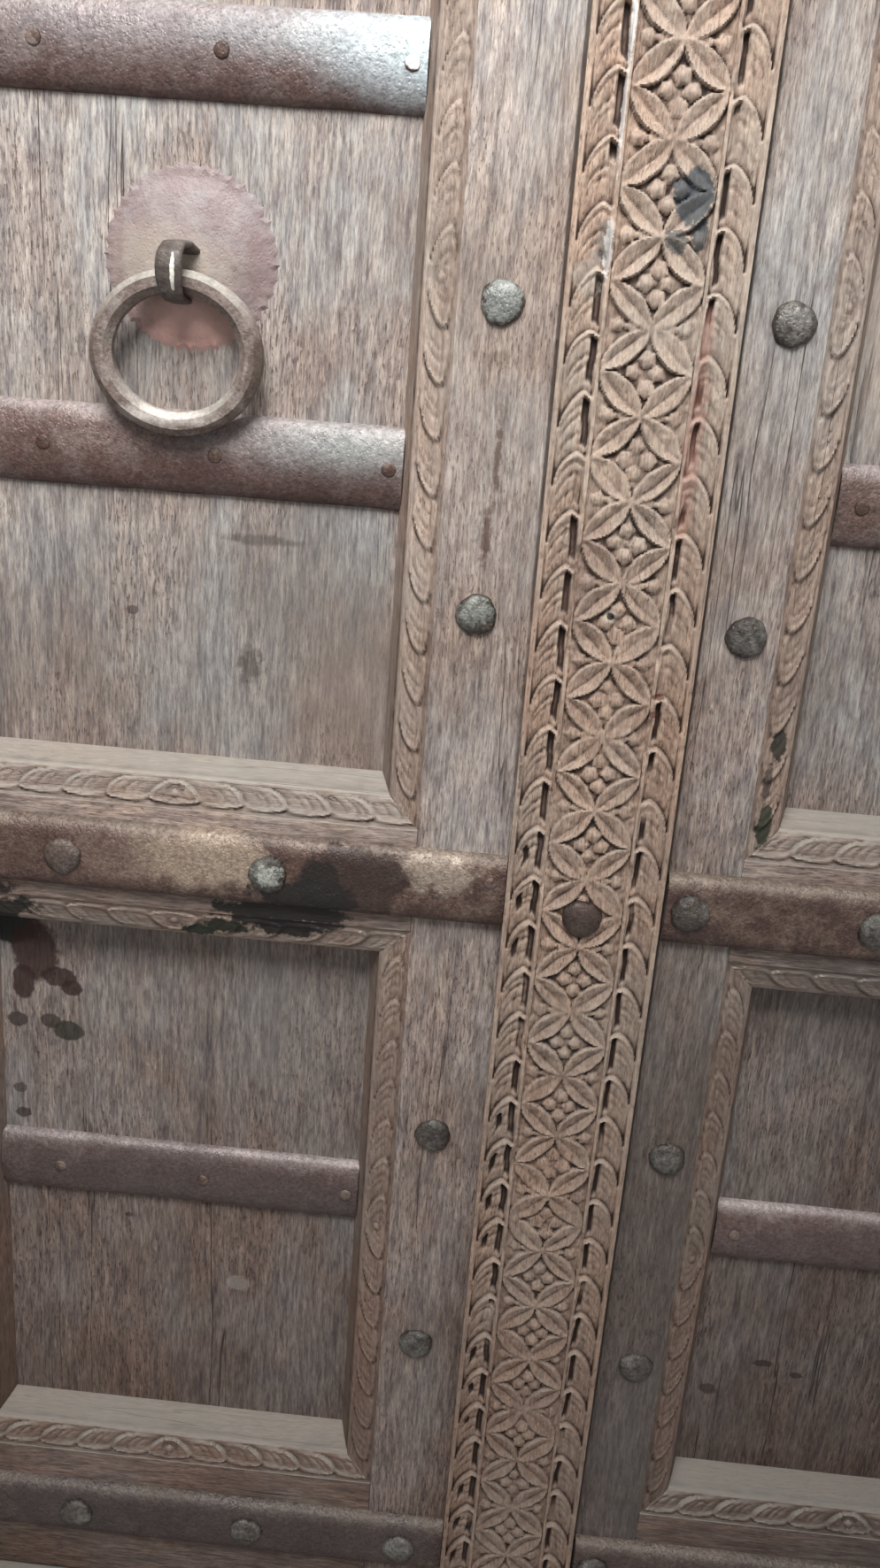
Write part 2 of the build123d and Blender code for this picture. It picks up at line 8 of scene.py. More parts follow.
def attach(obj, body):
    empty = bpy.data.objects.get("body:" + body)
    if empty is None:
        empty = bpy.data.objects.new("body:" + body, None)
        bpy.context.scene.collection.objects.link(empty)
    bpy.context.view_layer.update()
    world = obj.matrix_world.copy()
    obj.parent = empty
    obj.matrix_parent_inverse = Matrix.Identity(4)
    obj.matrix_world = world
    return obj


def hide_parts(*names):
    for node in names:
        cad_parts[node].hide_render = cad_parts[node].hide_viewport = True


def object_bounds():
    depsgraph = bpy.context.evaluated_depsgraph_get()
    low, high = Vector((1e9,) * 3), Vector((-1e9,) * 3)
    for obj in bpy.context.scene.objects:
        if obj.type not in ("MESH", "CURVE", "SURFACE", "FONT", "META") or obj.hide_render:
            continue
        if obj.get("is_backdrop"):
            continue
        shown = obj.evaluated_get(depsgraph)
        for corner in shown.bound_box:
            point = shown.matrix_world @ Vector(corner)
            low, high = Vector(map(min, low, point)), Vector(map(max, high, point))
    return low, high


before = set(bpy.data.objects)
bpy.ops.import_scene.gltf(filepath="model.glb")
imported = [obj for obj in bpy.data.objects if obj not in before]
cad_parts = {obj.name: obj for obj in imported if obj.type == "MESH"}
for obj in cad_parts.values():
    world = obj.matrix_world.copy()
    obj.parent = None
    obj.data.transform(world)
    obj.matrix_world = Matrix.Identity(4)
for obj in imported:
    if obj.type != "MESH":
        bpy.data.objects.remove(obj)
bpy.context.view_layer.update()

bpy.ops.object.select_all(action="DESELECT")

# The carved cover strip: one long board of warm teak with a lattice of
# four-petalled stars between two leaf borders, nailed to the left leaf.
# All of its relief is cut by hand, so no two leaves are quite alike.
MM = 0.001
LEAF_FACE = -8.5
STRIP_GROUND = -20.5
STRIP_HALF = 50.0
BOARD_FRONT = -19.0
SHEET_BACK = -18.9
SLIT_DEPTH = -1.4
STRIP_LOW, STRIP_HIGH = 66.0, 2054.0
CELL = 47.4
FIRST_CROSSING = 100.6
BORDER_PITCH = 32.8


def uneven(u, v, size, seed):
    """Smooth hand-made unevenness from -1 to 1, its bumps about size mm across."""
    table = np.random.default_rng(seed).uniform(-1, 1, (97, 97))
    u, v = u / size, v / size
    i, j = np.floor(u).astype(int), np.floor(v).astype(int)
    a, b = u - i, v - j
    a, b = a * a * (3 - 2 * a), b * b * (3 - 2 * b)

    def corner(p, q):
        return table[(i + p) % 97, (j + q) % 97]

    low = blend(a, corner(0, 0), corner(1, 0))
    high = blend(a, corner(0, 1), corner(1, 1))
    return blend(b, low, high)


def ease(x, low, high):
    """0 below low, 1 above high and smooth between them."""
    t = np.clip((x - low) / (high - low), 0, 1)
    return t * t * (3 - 2 * t)


def ridge(away, width):
    """1 where away is 0, dying out to both sides over about width."""
    return np.exp(-(away / width) ** 2)


def blend(share, first, second):
    """First where share is 0, second where it is 1."""
    return first * (1 - share) + second * share


def chip(x, z, radius, height, turn):
    """A small bud left by five strokes of a chisel: a blunt pyramid with steep sides."""
    reach = 0 * x
    for stroke in range(5):
        angle = turn + stroke * 2 * math.pi / 5
        reach = np.maximum(reach, x * np.cos(angle) + z * np.sin(angle))
    reach = reach / radius
    return height * (1 - 0.5 * np.clip(reach, 0, 1)) * ease(1.08 - reach, 0, 0.22)


def petal(along, across, half_length, half_width, shift, rim, slope):
    """A pointed leaf cut as a valley between two raised edges; below zero height lies outside it."""
    swell = np.clip(1 - (along / half_length) ** 2, 0, 1) ** 0.78
    reach = np.maximum(half_width * swell, 0.05)
    fold = across - shift * swell
    side = np.where(fold > 0, fold / (reach - shift * swell + 0.01), -fold / (reach + shift * swell + 0.01))
    height = rim - slope * reach * (1 - np.clip(side, 0, 1)) - 0.55 * ridge(fold, 0.6) * ease(reach, 1, 4)
    wall = ease(reach - np.abs(across), -0.1, 0.75) * (np.abs(along) < half_length)
    return height, wall


def lattice_relief(x, z):
    """Height of the star lattice over the ground of the strip, in mm."""
    number = np.round((z - FIRST_CROSSING) / CELL)
    dz = z - FIRST_CROSSING - number * CELL
    wobble = 0.5 * uneven(x + 300, z, 8, 3)
    ground = 1.3 + 0.4 * uneven(x, z, 3.1, 5)
    height = ground
    for side in (-1, 1):
        for way in (-1, 1):
            px, pz = x - side * 13, dz - way * CELL / 4
            turn = math.atan2(CELL / 4 * way, 13 * side)
            luck = uneven(number * 11 + side * 3 + way, number * 7 + 0 * x, 1.0, 11 + side + 2 * way)
            along = px * math.cos(turn) + pz * math.sin(turn)
            across = -px * math.sin(turn) + pz * math.cos(turn) + wobble
            leaf, wall = petal(along, across, 17.9, 7.5 + 0.5 * luck, 1.2 * luck, 4.9 + 0.3 * luck, 0.38)
            height = np.maximum(height, blend(wall, ground, leaf))
    half_cell = (np.floor((z - FIRST_CROSSING) / CELL) + 0.5) * CELL
    flower = z - FIRST_CROSSING - half_cell
    for bx, bz in ((6.3, 0), (-6.3, 0), (0, 7.6), (0, -7.6)):
        luck = uneven(half_cell * 0.31 + bx, half_cell * 0.17 + bz + 0 * x, 1.0, 29)
        away_x, away_z = x - bx - 0.8 * luck, flower - bz + 0.8 * luck
        lean = 0.3 * away_x * luck - 0.12 * away_z
        cut = chip(away_x, away_z, 4.7 + 0.7 * luck, 4.5 + 0.5 * luck, 2.6 * luck)
        height = np.maximum(height, cut + lean * (cut > 0.5))
    for side in (-1, 1):
        luck = uneven(number * 5 + side, number * 3 + 0 * x, 1.0, 37)
        bud = chip(x - side * (19.3 + 0.5 * luck), dz + luck, 4.2 + 0.5 * luck, 4.0, 3 * luck)
        height = np.maximum(height, bud)
        leaf, wall = petal(x - side * 10.5, dz + 0.5 * luck, 6.3, 2.9, 0.0, 2.6, -0.3)
        height = np.maximum(height, leaf * wall)
    tired = ease(uneven(x, z, 19, 41), 0.0, 0.8)
    height = height - tired * np.clip(height - 2.0, 0, 3) * 0.6
    return height + 0.4 * uneven(x, z, 8, 43) + 0.3 * uneven(x, z, 2.6, 47)


def tongues(s, w, pitch, rise, hook, seed, lines=1.0):
    """Overlapping curled tongues: s runs from 0 at the roots to 1 beside the tips, which point along w."""
    s = np.clip(s, 0, 1)
    arc = rise * np.sqrt(s * (2 - s)) - hook * ease(s, 0.62, 1.0) ** 1.5 + 1.5 * uneven(s * 14, w, 17, seed)
    row = (w - arc) / pitch
    number = np.floor(row)
    p = row - number
    luck = 0.06 * uneven(number * 3.1, number * 1.7 + seed, 1.0, seed + 1)
    body = 3.4 * p ** 0.65 + 0.6 * ridge(p - 0.9, 0.05)
    first = 0.9 * ridge(p - 0.79 - luck, 0.036)
    second = 1.3 * ridge(p - 0.56 + luck, 0.045) * ease(1 - s, 0.05, 0.2)
    third = 0.9 * ridge(p - 0.33 - luck, 0.042) * ease(0.85 - s, 0, 0.2)
    height = 0.8 + body * ease(1 - p, 0, 0.085) - lines * (first + second + third) * ease(s, 0.03, 0.2)
    return height, p


def border_relief(x, z, hand):
    """Height of a leaf border from the outer rim to the plain list, in mm."""
    place_x = hand * x
    out = (place_x - 28.6) / 18.6
    s = 1 - out
    start, hook, lines = (0, 4, 0.95) if hand < 0 else (9, 3, 0.6)
    height, p = tongues(s, z + start, BORDER_PITCH, 31, hook, 51 + hand, lines)
    vein = 0.9 * ridge(s - 0.45 - 0.25 * p, 0.05) * ease(p, 0.05, 0.3) * ease(0.8 - p, 0, 0.15)
    height = height - vein
    present = ease(uneven(0 * x + 9, z, 37, 57 + hand), -0.75, -0.2)
    if hand < 0:
        present = ease(uneven(0 * x + 9, z, 37, 57), -0.1, 0.3) + ease(985 - z, 0, 60) * present
    off_slit = np.abs(place_x - 31.2 - 0.7 * uneven(0 * x, z, 11, 58 + hand))
    slit = ease((1.9 if hand > 0 else 2.3) - off_slit, 0, 0.7)
    slit = slit * np.clip(present, 0, 1) * ease(p, 0.06, 0.2) * ease(0.93 - p, 0, 0.1)
    if hand < 0:
        off_gouge = np.abs(place_x - 40.5 - 1.2 * uneven(0 * x, z, 13, 66))
        gouge = ease(2.3 - off_gouge, 0, 1.0) * ease(760 - z, 0, 40)
        gouge = gouge * ease(p, 0.3, 0.4) * ease(0.75 - p, 0, 0.1) * ease(uneven(0 * x, z, 41, 68), -0.4, 0)
        slit = np.maximum(slit, gouge)
    height = blend(slit, height, SLIT_DEPTH)
    rim = 4.0 + 0.3 * uneven(x, z, 12, 61)
    on_rim = ease(place_x, 46.6, 47.2)
    height = height - 0.8 * ridge(place_x - 46.3, 0.6)
    height = blend(on_rim, height, rim)
    chipped = ease(uneven(x * 0.4, z, 24, 67 + hand), 0.0, 0.5) * 3.2 * (0.35 + 0.65 * ease(1300 - z, 0, 350))
    list_top = 4.4 + 0.8 * np.sin(np.pi * p) - 0.5 * np.abs(uneven(x, z, 5, 71)) - chipped
    on_list = ease(28.7 + 0.5 * uneven(0 * x, z, 19, 69 + hand) - place_x, 0, 0.6)
    height = blend(on_list, height, list_top)
    return height + 0.25 * uneven(x, z, 7, 77) + 0.2 * uneven(x, z, 2.2, 73)


def cavity(height, columns, rows):
    """How far each spot of a grid lies over (or, below 0, under) its surroundings, in mm."""
    level = height.reshape(rows + 1, columns + 1)
    around = level
    for _ in range(10):
        around = np.pad(around, 1, mode="edge")
        around = (around[:-2, 1:-1] + around[2:, 1:-1] + around[1:-1, :-2] + around[1:-1, 2:]) / 4
    return (level - around).ravel()


def corners_of(piece):
    """Where the corners of a piece are, one row each."""
    flat = np.empty(len(piece.data.vertices) * 3)
    piece.data.vertices.foreach_get("co", flat)
    return flat.reshape(-1, 3)


def move_corners(piece, points):
    """Moves the corners of a piece to points in mm."""
    piece.data.vertices.foreach_set("co", (points * MM).ravel())


def open_grid(name, columns, rows):
    """A grid primitive, and how far across (u) and up (v) it each corner lies."""
    bpy.ops.object.select_all(action="DESELECT")
    bpy.ops.mesh.primitive_grid_add(x_subdivisions=columns, y_subdivisions=rows, size=1)
    piece = bpy.context.object
    piece.name = piece.data.name = name
    flat = corners_of(piece)
    return piece, flat[:, 0] + 0.5, flat[:, 1] + 0.5


def edit_all():
    """Opens the active piece for editing, with all of it selected."""
    bpy.ops.object.mode_set(mode="EDIT")
    bpy.ops.mesh.select_all(action="SELECT")


def face_outwards():
    """Turns all faces of the piece being edited outwards and ends the editing."""
    bpy.ops.mesh.select_all(action="SELECT")
    bpy.ops.mesh.normals_make_consistent(inside=False)
    bpy.ops.object.mode_set(mode="OBJECT")


def smooth_below(degrees):
    """Smooth shading, with edges sharper than this kept crisp."""
    bpy.ops.object.shade_smooth_by_angle(angle=math.radians(degrees))


def carved_sheet(name, columns, rows, place, back, level=None):
    """A grid shaped by place(u, v), its edge turned back by the vector back, or to a level, and closed."""
    piece, u, v = open_grid(name, columns, rows)
    points, height = place(u, v)
    move_corners(piece, points)
    hollow = np.clip(0.5 + 0.5 * cavity(height, columns, rows) + 0.05 * (height - 2.5), -0.5, 1.5)
    piece.data.attributes.new("hollow", "FLOAT", "POINT").data.foreach_set("value", hollow)
    edit_all()
    bpy.ops.mesh.region_to_loop()
    bpy.ops.mesh.extrude_edges_move(TRANSFORM_OT_translate={"value": tuple(c * MM for c in back)})
    bpy.ops.mesh.edge_face_add()
    face_outwards()
    if level is not None:
        for corner in piece.data.vertices[len(u):]:
            corner.co.y = level * MM
    smooth_below(62)
    return piece


def finish_piece(piece, material, body, slot, *nodes):
    """Gives a new piece its finish, its body and the CAD nodes that it stands for."""
    piece.data.materials.clear()
    piece.data.materials.append(material)
    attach(piece, body)
    if nodes:
        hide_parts(*nodes)


def strip_rows(v):
    """Rows of the strip, closer together from the foot to above the rings, where it is seen closest."""
    return np.interp(v, (0, 0.68, 1.0), (STRIP_LOW, 1260, STRIP_HIGH))


def strip_band(name, spots, columns, rows, relief):
    """One band of the strip's carving, its columns spaced evenly between spots (share of columns, x)."""

    def place(u, v):
        x = np.interp(u, *spots)
        z = strip_rows(v)
        height = np.maximum(relief(x, z), SLIT_DEPTH)
        return np.stack([x, STRIP_GROUND - height, z], 1), height

    return carved_sheet(name, columns, rows, place, (0, 3.4, 0), SHEET_BACK)


def wire(tree, source, target):
    """Joins a socket to an input, or sets the input to a plain value."""
    if isinstance(source, bpy.types.NodeSocket):
        tree.links.new(source, target)
    else:
        target.default_value = source


def step(tree, kind, settings=None, **inputs):
    """A shader node with its settings, and its inputs by name or by number (as i0, i1)."""
    made = tree.nodes.new(kind)
    for key, value in (settings or {}).items():
        setattr(made, key, value)
    for key, value in inputs.items():
        spot = int(key[1:]) if key[0] == "i" and key[1:].isdigit() else key.replace("_", " ")
        wire(tree, value, made.inputs[spot])
    return made


def calc(tree, operation, *values):
    """One sum on the values."""
    inputs = {f"i{k}": value for k, value in enumerate(values)}
    return step(tree, "ShaderNodeMath", {"operation": operation}, **inputs).outputs[0]


def shift(tree, operation, *values):
    """One sum on vectors; its first output is the vector, Value the number."""
    inputs = {f"i{k}": value for k, value in enumerate(values)}
    return step(tree, "ShaderNodeVectorMath", {"operation": operation}, **inputs).outputs


def times(tree, a, b):
    """The product of a and b."""
    return calc(tree, "MULTIPLY", a, b)


def plus(tree, a, b):
    """The sum of a and b."""
    return calc(tree, "ADD", a, b)


def less(tree, a, b):
    """What is left of a after b."""
    return calc(tree, "SUBTRACT", a, b)


def greys(tree, red, blue):
    """A near-grey colour for shading: one value for red and green, another for blue."""
    return step(tree, "ShaderNodeCombineColor", None, i0=red, i1=red, i2=blue).outputs[0]


def spread(tree, value, low, high, to_low=0.0, to_high=1.0):
    """The value stretched from low..high to to_low..to_high, and held there."""
    made = step(tree, "ShaderNodeMapRange", {"clamp": True}, i0=value, i1=low, i2=high, i3=to_low, i4=to_high)
    return made.outputs[0]


def tint(tree, amount, first, second, kind="MIX"):
    """Colour that goes from first to second by amount."""
    made = step(tree, "ShaderNodeMix", {"data_type": "RGBA", "blend_type": kind})
    wire(tree, amount, made.inputs[0])
    wire(tree, first, made.inputs[6])
    wire(tree, second, made.inputs[7])
    return made.outputs[2]


def noise(tree, place, scale, detail=2.0, rough=0.5):
    """Noise value at a place."""
    made = step(tree, "ShaderNodeTexNoise", None, Vector=place, Scale=scale, Detail=detail, Roughness=rough)
    return made.outputs[0]


def stretched(tree, place, x, y, z):
    """A place stretched along its axes."""
    made = step(tree, "ShaderNodeMapping", {"vector_type": "POINT"}, Vector=place)
    made.inputs["Scale"].default_value = (x, y, z)
    return made.outputs[0]


def grain(tree, place, across, along, detail=2.0, rough=0.5):
    """Noise drawn out along the grain."""
    return noise(tree, stretched(tree, place, across, across, along), 1.0, detail, rough)


def effect(name, inputs, outputs):
    """An empty node group, and the sockets inside it for its named inputs and outputs."""
    group = bpy.data.node_groups.new(name, "ShaderNodeTree")
    kinds = {"v": "NodeSocketVector", "c": "NodeSocketColor", "f": "NodeSocketFloat"}
    for kind, label in inputs:
        group.interface.new_socket(name=label, in_out="INPUT", socket_type=kinds[kind])
    for kind, label in outputs:
        group.interface.new_socket(name=label, in_out="OUTPUT", socket_type=kinds[kind])
    return group, group.nodes.new("NodeGroupInput").outputs, group.nodes.new("NodeGroupOutput").inputs


def use(tree, group, **inputs):
    """Places an effect in a material."""
    made = tree.nodes.new("ShaderNodeGroup")
    made.node_tree = group
    for key, value in inputs.items():
        wire(tree, value, made.inputs[key.replace("_", " ")])
    return made


# Weathered teak: silvery where the sun has reached it, warm brown in the carving,
# with long streaks, dark open pores and a few hairline cracks along the grain.
teak, teak_in, teak_out = effect(
    "weathered_teak",
    [("v", "Place"), ("c", "Warm"), ("c", "Silver"), ("c", "Deep"), ("f", "Silvering"), ("f", "Streaks")],
    [("c", "Colour"), ("f", "Height"), ("f", "Roughness")],
)
place = teak_in["Place"]
grain_place = place
for across, along, sway in ((5, 2.2, 0.014), (45, 14, 0.0022)):
    wander = stretched(teak, place, across, across, along)
    wander = step(teak, "ShaderNodeTexNoise", None, Vector=wander, Scale=1.0, Detail=2.0).outputs["Color"]
    grain_place = shift(teak, "MULTIPLY_ADD", wander, (sway, sway, 0.0), grain_place)[0]
fine = grain(teak, grain_place, 850, 95, 4.0, 0.72)
streak = grain(teak, grain_place, 120, 4.5, 3.0, 0.6)
broad = grain(teak, grain_place, 26, 2.4, 2.0, 0.55)
pore = grain(teak, grain_place, 820, 150, 3.0, 0.6)
crack = grain(teak, grain_place, 42, 1.0, 3.0, 0.6)
cloud = noise(teak, place, 8.0, 5.0, 0.62)
hue = grain(teak, place, 17, 7, 3.0, 0.6)
colour = tint(teak, spread(teak, streak, 0.40, 0.72, 0.0, 0.45), teak_in["Warm"], teak_in["Deep"])
mottle = calc(teak, "MULTIPLY_ADD", cloud, 1.3, times(teak, broad, 0.5))
weather = times(teak, spread(teak, mottle, 0.68, 1.08), teak_in["Silvering"])
colour = tint(teak, weather, colour, teak_in["Silver"])
cast = tint(teak, spread(teak, hue, 0.38, 0.62), (0.96, 1.0, 1.02, 1), (1.09, 0.98, 0.92, 1))
colour = tint(teak, 1.0, colour, cast, "MULTIPLY")
colour = tint(teak, spread(teak, fine, 0.36, 0.54, 0.62, 0.0), colour, teak_in["Deep"])
colour = tint(teak, spread(teak, fine, 0.52, 0.70, 0.0, 0.45), colour, teak_in["Silver"])
vein = grain(teak, grain_place, 380, 42, 4.0, 0.75)
worn = grain(teak, grain_place, 95, 20, 4.0, 0.7)
shade = times(teak, spread(teak, vein, 0.36, 0.62, 0.63, 1.38), spread(teak, worn, 0.34, 0.62, 0.80, 1.15))
shade = greys(teak, shade, calc(teak, "MULTIPLY_ADD", shade, 0.9, 0.1))
colour = tint(teak, teak_in["Streaks"], colour, tint(teak, 1.0, colour, shade, "MULTIPLY"))
pores = times(teak, spread(teak, pore, 0.44, 0.34), spread(teak, hue, 0.42, 0.58))
colour = tint(teak, times(teak, pores, 0.6), colour, (0.05, 0.034, 0.027, 1))
split = spread(teak, calc(teak, "ABSOLUTE", less(teak, crack, 0.5)), 0.0, 0.007, 1.0, 0.0)
gate = spread(teak, grain(teak, place, 11, 2.6, 2.0), 0.55, 0.66)
split = times(teak, split, gate)
colour = tint(teak, times(teak, split, 0.8), colour, (0.045, 0.03, 0.024, 1))
high = plus(teak, times(teak, fine, 0.8), times(teak, streak, 0.4))
high = plus(teak, high, times(teak, vein, 1.2))
high = less(teak, high, times(teak, pores, 0.4))
high = less(teak, high, times(teak, split, 1.5))
wire(teak, colour, teak_out["Colour"])
wire(teak, high, teak_out["Height"])
wire(teak, spread(teak, cloud, 0.3, 0.7, 0.55, 0.75), teak_out["Roughness"])

# Painted shade: the colour darkens towards the foot of the door, and further low down on the right leaf.
foot_shade, foot_shade_in, foot_shade_out = effect(
    "foot_shade_painted", [("c", "Colour"), ("v", "Place"), ("f", "Strength")], [("c", "Colour")]
)
where = step(foot_shade, "ShaderNodeSeparateXYZ", None, i0=foot_shade_in["Place"])
level = calc(foot_shade, "MULTIPLY_ADD", noise(foot_shade, foot_shade_in["Place"], 5.0, 4.0, 0.6), 0.35, where.outputs[2])
foot_share = times(foot_shade, spread(foot_shade, level, 0.42, 1.25, 1.0, 0.0), foot_shade_in["Strength"])
dark = tint(foot_shade, 1.0, foot_shade_in["Colour"], (0.425, 0.365, 0.345, 1), "MULTIPLY")
shaded = tint(foot_shade, foot_share, foot_shade_in["Colour"], dark)
right_foot_shade = times(foot_shade, spread(foot_shade, where.outputs[0], 0.055, 0.20, 0.0, 0.42), spread(foot_shade, level, 1.2, 0.85))
darker = tint(foot_shade, 1.0, shaded, (0.28, 0.28, 0.29, 1), "MULTIPLY")
wire(foot_shade, tint(foot_shade, right_foot_shade, shaded, darker), foot_shade_out["Colour"])

# Dirt and painted shade in the hollows of carved wood, and paler crests that are partly rubbed and partly
# painted highlight.
dirt_and_shade, dirt_and_shade_in, dirt_and_shade_out = effect(
    "hollow_dirt_and_shade", [("c", "Colour"), ("f", "Hollow"), ("v", "Place"), ("f", "Strength")], [("c", "Colour")]
)
patchy = calc(dirt_and_shade, "MULTIPLY_ADD", noise(dirt_and_shade, dirt_and_shade_in["Place"], 90.0, 4.0), 0.5, -0.25)
level = plus(dirt_and_shade, dirt_and_shade_in["Hollow"], patchy)
low = times(dirt_and_shade, spread(dirt_and_shade, level, 0.47, -0.05), dirt_and_shade_in["Strength"])
shade = tint(dirt_and_shade, low, dirt_and_shade_in["Colour"], (0.085, 0.05, 0.037, 1))
shade = tint(dirt_and_shade, spread(dirt_and_shade, level, 0.08, -0.25, 0.0, 0.93), shade, (0.032, 0.018, 0.014, 1))
crest_wear_and_highlight = times(dirt_and_shade, spread(dirt_and_shade, level, 0.6, 1.05, 0.0, 0.45), dirt_and_shade_in["Strength"])
wire(dirt_and_shade, tint(dirt_and_shade, crest_wear_and_highlight, shade, (0.62, 0.51, 0.42, 1)), dirt_and_shade_out["Colour"])

# Pale dust that settles on everything facing up; the same lightening of upward faces is also painted light
# from above.
dust_and_top_light, dust_and_top_light_in, dust_and_top_light_out = effect(
    "settled_dust_and_top_light", [("c", "Colour"), ("v", "Place"), ("c", "Dust"), ("f", "Strength")], [("c", "Colour")]
)
normal = dust_and_top_light.nodes.new("ShaderNodeNewGeometry").outputs["Normal"]
facing = step(dust_and_top_light, "ShaderNodeSeparateXYZ", None, i0=normal).outputs[2]
dust_light_level = plus(dust_and_top_light, facing, calc(dust_and_top_light, "MULTIPLY_ADD", noise(dust_and_top_light, dust_and_top_light_in["Place"], 45.0, 4.0), 0.6, -0.3))
amount = times(dust_and_top_light, spread(dust_and_top_light, dust_light_level, 0.25, 0.75), dust_and_top_light_in["Strength"])
wire(dust_and_top_light, tint(dust_and_top_light, amount, dust_and_top_light_in["Colour"], dust_and_top_light_in["Dust"]), dust_and_top_light_out["Colour"])

# A spilled or spattered mark: a ragged oval about Centre, Reach wide and tall.
mark, mark_in, mark_out = effect(
    "ragged_mark",
    [("v", "Place"), ("v", "Centre"), ("v", "Reach"), ("f", "Ragged"), ("f", "Fineness"), ("f", "Soft")],
    [("f", "Mask")],
)
away = shift(mark, "SUBTRACT", mark_in["Place"], mark_in["Centre"])[0]
far = shift(mark, "LENGTH", shift(mark, "DIVIDE", away, mark_in["Reach"])[0])["Value"]
edge = less(mark, noise(mark, mark_in["Place"], mark_in["Fineness"], 5.0, 0.65), 0.5)
edge = times(mark, edge, mark_in["Ragged"])
outer, inner = (calc(mark, "MULTIPLY_ADD", mark_in["Soft"], way, 1.0) for way in (1.0, -1.0))
wire(mark, spread(mark, plus(mark, far, edge), outer, inner), mark_out["Mask"])


PANEL_FROM = 20.0  # marks further back than this lie on a panel and must not reach its other face


def spoil(tree, place, colour, marks):
    """Lays marks over a colour.

    Each is its centre x, y, z and its reach x, z in mm, raggedness, strength, colour and maybe softness.
    """
    for x, y, z, wide, tall, ragged, strength, stain, *soft in marks:
        deep = 9 if y > PANEL_FROM else 30
        reach = (wide * MM, deep * MM, tall * MM)
        fineness = 1400 / (wide * tall) ** 0.5
        made = use(
            tree, mark, Place=place, Centre=(x * MM, y * MM, z * MM), Reach=reach, Ragged=ragged,
            Fineness=fineness, Soft=soft[0] if soft else 0.09,
        )
        colour = tint(tree, times(tree, made.outputs[0], strength), colour, (*stain, 1))
    return colour


def blank(name):
    """A new material: itself, its node tree and its shader."""
    material = bpy.data.materials.new(name)
    material.use_nodes = True
    tree = material.node_tree
    return material, tree, tree.nodes["Principled BSDF"]


def dress(tree, shader, colour, base, bump, distance):
    """Wires a colour, and the roughness and relief of a base effect, into a shader."""
    wire(tree, colour, shader.inputs["Base Color"])
    wire(tree, base.outputs["Roughness"], shader.inputs["Roughness"])
    height = base.outputs["Height"]
    raised = step(tree, "ShaderNodeBump", None, Height=height, Strength=bump, Distance=distance)
    wire(tree, raised.outputs[0], shader.inputs["Normal"])


def teak_finish(
    name, warm, silver, deep, silvering, run="z", carved=0.0, top_dust_and_light=0.0, bump=0.5, foot_shading=1.0, marks=(),
):
    """A material of weathered teak whose grain runs along x or z."""
    material, tree, shader = blank(name)
    place = tree.nodes.new("ShaderNodeTexCoord").outputs["Object"]
    along = place
    if run == "x":
        turned = step(tree, "ShaderNodeMapping", {"vector_type": "POINT"}, Vector=place)
        turned.inputs["Rotation"].default_value = (0, math.pi / 2, 0)
        along = turned.outputs[0]
    wood = use(
        tree, teak, Place=along, Warm=(*warm, 1), Silver=(*silver, 1), Deep=(*deep, 1), Silvering=silvering,
        Streaks=0.45 if carved else 1.0,
    )
    colour = wood.outputs["Colour"]
    if carved:
        hollow = step(tree, "ShaderNodeAttribute", {"attribute_name": "hollow"}).outputs["Fac"]
        # Dirt and painted shade in the carved hollows; the paler crests are partly painted highlight.
        colour = use(tree, dirt_and_shade, Colour=colour, Hollow=hollow, Place=place, Strength=carved).outputs["Colour"]
    # Painted shade: darker towards the foot of the door.
    colour = use(tree, foot_shade, Colour=colour, Place=place, Strength=foot_shading).outputs["Colour"]
    # Dust on upward faces, which also stands for painted light on them.
    if top_dust_and_light:
        dusted_and_lit = use(tree, dust_and_top_light, Colour=colour, Place=place, Dust=(0.44, 0.42, 0.37, 1), Strength=top_dust_and_light)
        colour = dusted_and_lit.outputs["Colour"]
    colour = spoil(tree, place, colour, marks)
    dress(tree, shader, colour, wood, bump, 1.1 * MM)
    shader.inputs["Specular IOR Level"].default_value = 0.28
    return material


